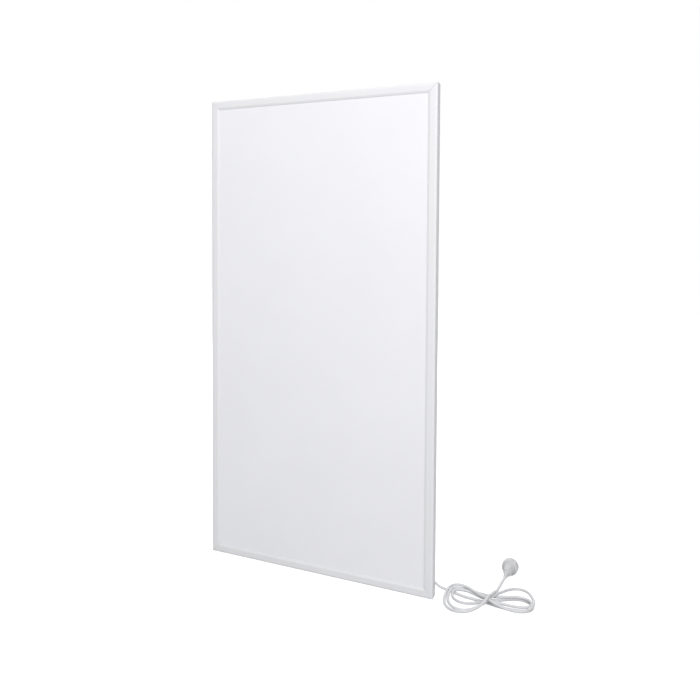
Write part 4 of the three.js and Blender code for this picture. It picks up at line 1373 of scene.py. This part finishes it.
@dataclass
class Hangers:
    """Four bent sheet-steel brackets with keyholes."""

    bridge: float = 44 * MM
    foot: float = 14 * MM
    height: float = 60 * MM
    sheet: float = 1.5 * MM
    bend: float = 1.2 * MM
    foot_corner: float = 4 * MM
    entry: float = 11 * MM
    slot: float = 6 * MM
    travel: float = 18 * MM
    rivet_bore: float = 4.6 * MM

    def bracket(self, reach: float) -> bpy.types.Mesh:
        """One bracket about its own middle, its feet at y = 0.

        Args:
            reach: Distance from the feet's underside to the wall.

        Returns:
            The mesh.
        """
        half, outer, wall = self.bridge / 2, self.bridge / 2 + self.foot, self.sheet
        wide = self.bend + wall
        outline = filleted([
            (-outer, 0, 0), (-half + wall, 0, wide), (-half + wall, reach - wall, self.bend),
            (half - wall, reach - wall, self.bend), (half - wall, 0, wide), (outer, 0, 0),
            (outer, wall, 0), (half, wall, self.bend), (half, reach, wide), (-half, reach, wide),
            (-half, wall, self.bend), (-outer, wall, 0)], steps=6)
        upright = Matrix.Rotation(-math.pi / 2, 4, "X")
        bm = prism(outline, self.height)
        bmesh.ops.transform(bm, matrix=at(0, 0, self.height / 2) @ upright, verts=bm.verts)
        bmesh.ops.recalc_face_normals(bm, faces=bm.faces)
        tips = [edge for edge in bm.edges
                if all(abs(abs(v.co.x) - outer) < TINY and abs(abs(v.co.z) - self.height / 2) < TINY
                       for v in edge.verts)]
        bmesh.ops.bevel(bm, geom=tips, offset=self.foot_corner, segments=6, affect="EDGES", profile=0.5)
        start, end = reach - wall - MM, reach + MM
        up = self.travel / 2
        rivet_x = half + self.foot / 2
        tools = [to_mesh(peg(self.slot, start, end), "slot", at(0, 0, up)),
                 to_mesh(bar((self.slot, end - start, self.travel), (0, (start + end) / 2, 0)), "slot"),
                 to_mesh(peg(self.entry, start, end, steps=40), "entry", at(0, 0, -up))]
        tools += [to_mesh(peg(self.rivet_bore, -MM, wall + MM), "bore", at(side * rivet_x, 0, 0))
                  for side in (-1, 1)]
        return shade(taken(carve(solid("bracket", bm), tools)))

    def build(self, finishes: Finishes, scatter: Scatter) -> None:
        """Makes the four brackets as one piece.

        Args:
            finishes: The finishes.
            scatter: The tree that copies them.
        """
        nodes = [f"wall_hanger_{corner.label}" for corner in Corner]
        boxes = [extent(node) for node in nodes]
        spots = [Vector((middle.x, low.y, middle.z)) for low, _, middle in boxes]
        mesh = self.bracket(boxes[0][1].y - boxes[0][0].y)
        made = scatter.place("wall_brackets", mesh, spots, finishes.made["zinc_steel"])
        finishes.place(made, "zinc_steel", *nodes)


# ---- connection box


@dataclass
class ConnectionBox:
    """Moulded box with its lid, on the back plate."""

    wall: float = 2 * MM
    corner: float = 4 * MM
    edge: float = 0.8 * MM
    boss: float = 8 * MM
    boss_inset: float = 8 * MM
    bore: float = 3.6 * MM
    feed_bore: float = 16 * MM
    feed_x: float = -30 * MM
    gland_bore: float = 12 * MM
    joint: float = 0.2 * MM
    lid_gap: float = 0.05 * MM
    lid_step_in: float = 3.2 * MM
    lid_step: float = 0.35 * MM

    def corners(self, sides: Sequence[tuple[int, int]]) -> list[tuple[float, float]]:
        """Places of screws near the box's corners.

        Args:
            sides: Sides in x and z, as -1 or 1.

        Returns:
            Their x and z.
        """
        low, high, middle = extent("junction_box")
        reach_x = (high.x - low.x) / 2 - self.boss_inset
        reach_z = (high.z - low.z) / 2 - self.boss_inset
        return [(middle.x + sx * reach_x, middle.z + sz * reach_z) for sx, sz in sides]

    def box(self) -> bpy.types.Object:
        """Open box with rounded rims and bosses, bored for its screws, feed and gland."""
        low, high, middle = extent("junction_box")
        deep, edge, wall = high.y - low.y, self.edge, self.wall
        profile = [(edge, 0), (edge * 0.3, edge * 0.3), (0, edge), (0, deep - edge / 2),
                   (edge * 0.15, deep - edge * 0.15), (edge / 2, deep), (wall - edge / 2, deep),
                   (wall, deep - edge / 2), (wall, wall + edge), (wall + edge * 0.3, wall + edge * 0.3),
                   (wall + edge, wall)]
        shell = loft(high.x - low.x, high.z - low.z, self.corner, profile)
        made = solid("connection_box", shell, at(middle.x, low.y, middle.z))
        lid_spots = self.corners([(-1, 1), (1, -1)])
        carve(made, [to_mesh(peg(self.boss, wall - self.joint, deep - self.lid_gap), "boss", at(x, low.y, z))
                     for x, z in lid_spots], add=True)
        tools = [to_mesh(peg(self.bore, wall + MM, deep + MM), "bore", at(x, low.y, z)) for x, z in lid_spots]
        earth = extent("earth_screw")[2]
        through = [*self.corners([(-1, -1), (1, 1)]), (earth.x, earth.z)]
        tools += [to_mesh(peg(self.bore, -MM, wall + MM), "bore", at(x, low.y, z)) for x, z in through]
        tools.append(to_mesh(peg(self.feed_bore, -MM, wall + MM, steps=40), "feed",
                             at(middle.x + self.feed_x, low.y, middle.z)))
        cable = extent("gland_body")[2]
        tools.append(to_mesh(peg(self.gland_bore, -3 * wall, 3 * wall, steps=40), "gland",
                             at(high.x, cable.y, cable.z) @ ALONG_X))
        return carve(made, tools)

    def lid(self) -> bpy.types.Object:
        """Lid with a soft edge and a step that follows its outline."""
        low, high, middle = extent("junction_box_lid")
        thick, edge, step_in, step = high.y - low.y, self.edge, self.lid_step_in, self.lid_step
        profile = [(edge * 0.4, 0), (0, edge * 0.4), (0, thick - step - edge),
                   (edge * 0.3, thick - step - edge * 0.3), (edge, thick - step),
                   (step_in, thick - step), (step_in + step * 0.3, thick - step * 0.3),
                   (step_in + step, thick)]
        plate = loft(high.x - low.x, high.z - low.z, self.corner, profile)
        made = solid("connection_lid", plate, at(middle.x, low.y, middle.z))
        holes = [to_mesh(peg(self.bore, -MM, thick + MM), "bore", at(x, low.y, z))
                 for x, z in self.corners([(-1, 1), (1, -1)])]
        return carve(made, holes)

    def build(self, finishes: Finishes) -> None:
        """Makes the box and its lid.

        Args:
            finishes: The finishes.
        """
        for made, node in ((self.box(), "junction_box"), (self.lid(), "junction_box_lid")):
            shade(made.data)
            finishes.place(made, "white_plastic", node)


class RibbedSleeve:
    """Tapered, ribbed sleeve grown by a node tree: a straight strain relief round its cable."""

    SHARPNESS = 4.0
    SIDES = 40
    BETWEEN = 0.5  # between the radius of the bore, in metres, and that of the outside ring, which is 1

    def __init__(self) -> None:
        """Builds the tree. The section is a closed ring turned about Y, with y from 0 to 1."""
        growth = GrowthTree("ribbed_sleeve")
        length, wide, narrow = (growth.value(name) for name in ("Length", "Wide", "Narrow"))
        ribs, groove, plain = (growth.value(name) for name in ("Ribs", "Groove", "Plain"))
        spot = growth.add("GeometryNodeInputPosition").outputs[0]
        here = growth.add("ShaderNodeSeparateXYZ", Vector=spot)
        along = here.outputs["Y"]
        result = growth.math
        taper = result("ADD", wide, result("MULTIPLY", along, result("SUBTRACT", narrow, wide)))
        past = result("MAXIMUM", result("SUBTRACT", along, plain), 0.0)
        share = result("DIVIDE", past, result("SUBTRACT", 1.0, result("MULTIPLY", plain, 2.0)))
        wave = result("COSINE", result("MULTIPLY", share, result("MULTIPLY", ribs, 2 * math.pi)))
        trough = result("MULTIPLY", result("SUBTRACT", 1.0, wave), 0.5)
        trough = result("POWER", trough, self.SHARPNESS)
        ribbed = result("MULTIPLY", result("GREATER_THAN", along, plain),
                        result("LESS_THAN", along, result("SUBTRACT", 1.0, plain)))
        depth = result("MULTIPLY", result("MULTIPLY", trough, groove), ribbed)
        radius = result("SUBTRACT", taper, depth)
        outside = growth.add("GeometryNodeInputNamedAttribute", {"data_type": "FLOAT"}, Name="outside")
        more = result("MULTIPLY", outside.outputs[0], result("SUBTRACT", radius, 1.0))
        scale = result("ADD", 1.0, more)
        moved = growth.add("ShaderNodeCombineXYZ", X=result("MULTIPLY", here.outputs["X"], scale),
                           Y=result("MULTIPLY", along, length),
                           Z=result("MULTIPLY", here.outputs["Z"], scale))
        shaped = growth.add("GeometryNodeSetPosition", Geometry=growth.start.outputs[0],
                            Position=moved.outputs[0])
        growth.finish(shaped.outputs[0])
        self.growth = growth

    def grow(self, name: str, bore: float, values: dict[str, object], rings: int = 120) -> bpy.types.Object:
        """Makes one sleeve along Y from 0.

        Args:
            name: The piece's name.
            bore: Radius of the bore.
            values: The tree's inputs.
            rings: Rings along the outside.

        Returns:
            The piece, not yet in place.
        """
        outside = [(1.0, y) for y in np.linspace(0, 1, rings)]
        made = solid(name, turned([(bore, 0), *outside, (bore, 1)], self.SIDES, closed=True))
        flag = made.data.attributes.new("outside", "FLOAT", "POINT")
        flag.data.foreach_set("value", [float(v.co.xz.length > self.BETWEEN) for v in made.data.vertices])
        return self.growth.grow(made, **values)


@dataclass
class CableEntry:
    """Snap-in gland in the box's wall and the ribbed boot beyond it."""

    bore: float = 7 * MM
    collar: float = 16 * MM
    neck: float = 11.4 * MM
    wall: float = 2 * MM
    gap: float = 0.3 * MM
    inside: float = 2.5 * MM
    boot_wide: float = 13 * MM
    boot_narrow: float = 9 * MM
    ribs: int = 6
    groove: float = 1.1 * MM
    plain: float = 0.1
    soft: float = 0.6 * MM

    def build(self, finishes: Finishes, sleeve: RibbedSleeve) -> None:
        """Makes the gland and the boot.

        Args:
            finishes: The finishes.
            sleeve: The tree for ribbed sleeves.
        """
        low, high, middle = extent("gland_body")
        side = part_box("junction_box")[1].x
        start, end = side - self.wall - self.gap, side + self.gap
        soft, radius, hole = self.soft, self.collar / 2, self.bore / 2
        profile = [(hole, low.x), (radius - 2 * soft, low.x), (radius - soft, low.x + soft),
                   (radius - soft, start), (self.neck / 2, start), (self.neck / 2, end), (radius, end),
                   (radius, high.x - 2 * soft), (radius - soft * 0.4, high.x - soft * 0.6),
                   (radius - 1.5 * soft, high.x), (hole + soft / 2, high.x), (hole, high.x - soft / 2)]
        gland = turned([(r, x - middle.x) for r, x in profile], closed=True)
        made = solid("cable_gland", gland, at(*middle) @ ALONG_X)
        shade(made.data)
        finishes.place(made, "white_plastic", "gland_body")
        low, high, middle = extent("strain_relief_boot")
        boot = sleeve.grow("bend_relief", hole, {
            "Length": high.x - low.x, "Wide": self.boot_wide / 2, "Narrow": self.boot_narrow / 2,
            "Ribs": float(self.ribs), "Groove": self.groove, "Plain": self.plain,
            "Material": finishes.made["cord_rubber"]})
        boot.data.transform(at(low.x, middle.y, middle.z) @ ALONG_X)
        shade(boot.data, angle=50)
        finishes.place(boot, "white_plastic", "strain_relief_boot")


# ---- plug


@dataclass
class MainsPlug:
    """Round earthed plug, moulded in one with its grip, lying on its side."""

    place: Triple = (444.5 * MM, 201 * MM, 19.5 * MM)
    turn: float = 3.0
    roll: float = 35.0
    head: float = 39 * MM
    head_length: float = 18 * MM
    grip_wide: float = 33 * MM
    grip_narrow: float = 20 * MM
    grip_length: float = 28 * MM
    sleeve_wide: float = 13 * MM
    sleeve_narrow: float = 8.4 * MM
    sleeve_length: float = 26 * MM
    pin: float = 4.8 * MM
    pin_length: float = 19 * MM
    pin_spacing: float = 19 * MM
    pin_root: float = 6 * MM
    notch_width: float = 5.4 * MM
    notch_depth: float = 3 * MM
    strap_width: float = 7 * MM
    strap_sheet: float = 1 * MM
    strap_inset: float = 5 * MM
    strap_start: float = 2 * MM
    strap_bend: float = 0.6 * MM
    shoulder_in: float = 2.6 * MM
    foot_up: float = 1.6 * MM
    waist_room: float = 4 * MM
    waist_power: float = 1.6
    edge: float = 2.2 * MM
    sides: int = 72
    gap: float = 0.3 * MM

    def stand(self) -> Matrix:
        """Transform from the plug's own frame, its pins along +Y, to the floor."""
        x, y, z = self.place
        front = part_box("frame_bottom")[0].y
        return (at(x, y + front, z) @ Matrix.Rotation(-math.radians(self.turn), 4, "Z")
                @ Matrix.Rotation(math.radians(self.roll), 4, "Y"))

    def moulding(self) -> bpy.types.Object:
        """Head, waisted grip and sleeve, with notches, pin holes and room for the strap."""
        radius, length, edge = self.head / 2, self.head_length, self.edge
        rims = arc((radius - edge, edge), edge, -90, 0) + arc((radius - edge, length - edge), edge, 0, 90)
        wide, narrow, grip = self.grip_wide / 2, self.grip_narrow / 2, self.grip_length
        waist = [(narrow + (wide - self.shoulder_in - narrow) * share ** self.waist_power,
                  -grip + self.foot_up + (grip - self.waist_room) * share) for share in np.linspace(0, 1, 10)]
        sleeve_end = -grip - self.sleeve_length
        profile = [(0, sleeve_end), (self.sleeve_narrow / 2 - 0.5 * MM, sleeve_end),
                   (self.sleeve_narrow / 2, sleeve_end + 0.5 * MM), (self.sleeve_wide / 2, -grip - 0.6 * MM),
                   (self.sleeve_wide / 2 + 0.4 * MM, -grip), (narrow - 1.4 * MM, -grip),
                   (narrow - 0.4 * MM, -grip + 0.5 * MM), *waist,
                   (wide - 1.2 * MM, -0.9 * MM), (wide - 0.2 * MM, 0), *rims, (0, length)]
        made = solid("plug_moulding", turned(profile, self.sides))
        strap_wide, strap_high = self.strap_width + 2 * self.gap, self.strap_sheet + 2 * self.gap
        room_end = length - self.strap_inset + self.gap
        tools = []
        for side in (-1, 1):
            groove = bar((2 * self.notch_depth, length + 2 * MM, self.notch_width),
                         (side * radius, length / 2, 0))
            tools.append(to_mesh(groove, "notch"))
            hole = peg(self.pin + 2 * self.gap, length - self.pin_root - self.gap, length + MM)
            tools.append(to_mesh(hole, "pin_hole", at(side * self.pin_spacing / 2, 0, 0)))
            room = bar((strap_wide, room_end - self.strap_start, 2 * strap_high),
                       (0, (room_end + self.strap_start) / 2, side * radius))
            tools.append(to_mesh(room, "strap_room"))
        bridge = length - self.strap_inset - self.strap_sheet / 2
        slot = bar((strap_wide, strap_high, self.head + 2 * MM), (0, bridge, 0))
        tools.append(to_mesh(slot, "strap_slot"))
        return carve(made, tools)

    def pins(self) -> bpy.types.Mesh:
        """One solid pin with a rounded tip."""
        radius, length = self.pin / 2, self.pin_length
        tip = arc((0, length - radius), radius, 0, 90, 7)[:-1]
        profile = [(0, -self.pin_root), (radius, -self.pin_root), *tip, (0, length)]
        return shade(to_mesh(turned(profile, steps=32), "pin"))

    def strap(self) -> bpy.types.Mesh:
        """U-shaped earth strap that shows in a channel on each side of the head."""
        outside = self.head / 2 - self.gap
        inside = outside - self.strap_sheet
        back, front = self.strap_start + self.gap, self.head_length - self.strap_inset
        bend = self.strap_bend
        turn = front - self.strap_sheet
        outline = filleted([(-outside, back, 0), (-inside, back, 0), (-inside, turn, bend),
                            (inside, turn, bend), (inside, back, 0), (outside, back, 0),
                            (outside, front, bend + self.strap_sheet),
                            (-outside, front, bend + self.strap_sheet)])
        bm = prism(outline, self.strap_width)
        lay_down = Matrix(((0, 1, 0, -self.strap_width / 2), (0, 0, 1, 0), (1, 0, 0, 0), (0, 0, 0, 1)))
        return shade(to_mesh(bm, "strap", lay_down))

    def build(self, finishes: Finishes, scatter: Scatter) -> list[bpy.types.Object]:
        """Makes the plug.

        Args:
            finishes: The finishes.
            scatter: The tree that copies the pins.

        Returns:
            Its pieces.
        """
        body = self.moulding()
        spots = [Vector((side * self.pin_spacing / 2, self.head_length, 0)) for side in (-1, 1)]
        pins = scatter.place("plug_pins", self.pins(), spots, finishes.made["plug_metal"])
        strap = piece("earth_contact", self.strap())
        rows = [(body, "plug_plastic", ["plug_body"]),
                (pins, "plug_metal", ["plug_pin_left", "plug_pin_right"]),
                (strap, "plug_metal", ["plug_earth_strap"])]
        for made, slot, nodes in rows:
            made.data.transform(self.stand())
            shade(made.data)
            finishes.place(made, slot, *nodes)
        return [made for made, _, _ in rows]


# ---- main


def main() -> None:
    """Builds the heater and the room."""
    Studio().build()
    finishes = Finishes()
    finishes.dress_nodes(frame["record"])
    scatter = Scatter()
    plug = MainsPlug().build(finishes, scatter)
    Flex(front=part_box("frame_bottom")[0].y).build(finishes, plug)
    RailFrame().build(finishes)
    Hangers().build(finishes, scatter)
    ConnectionBox().build(finishes)
    CableEntry().build(finishes, RibbedSleeve())
    Fasteners().build(finishes, scatter)


if __name__ == "__main__":
    main()
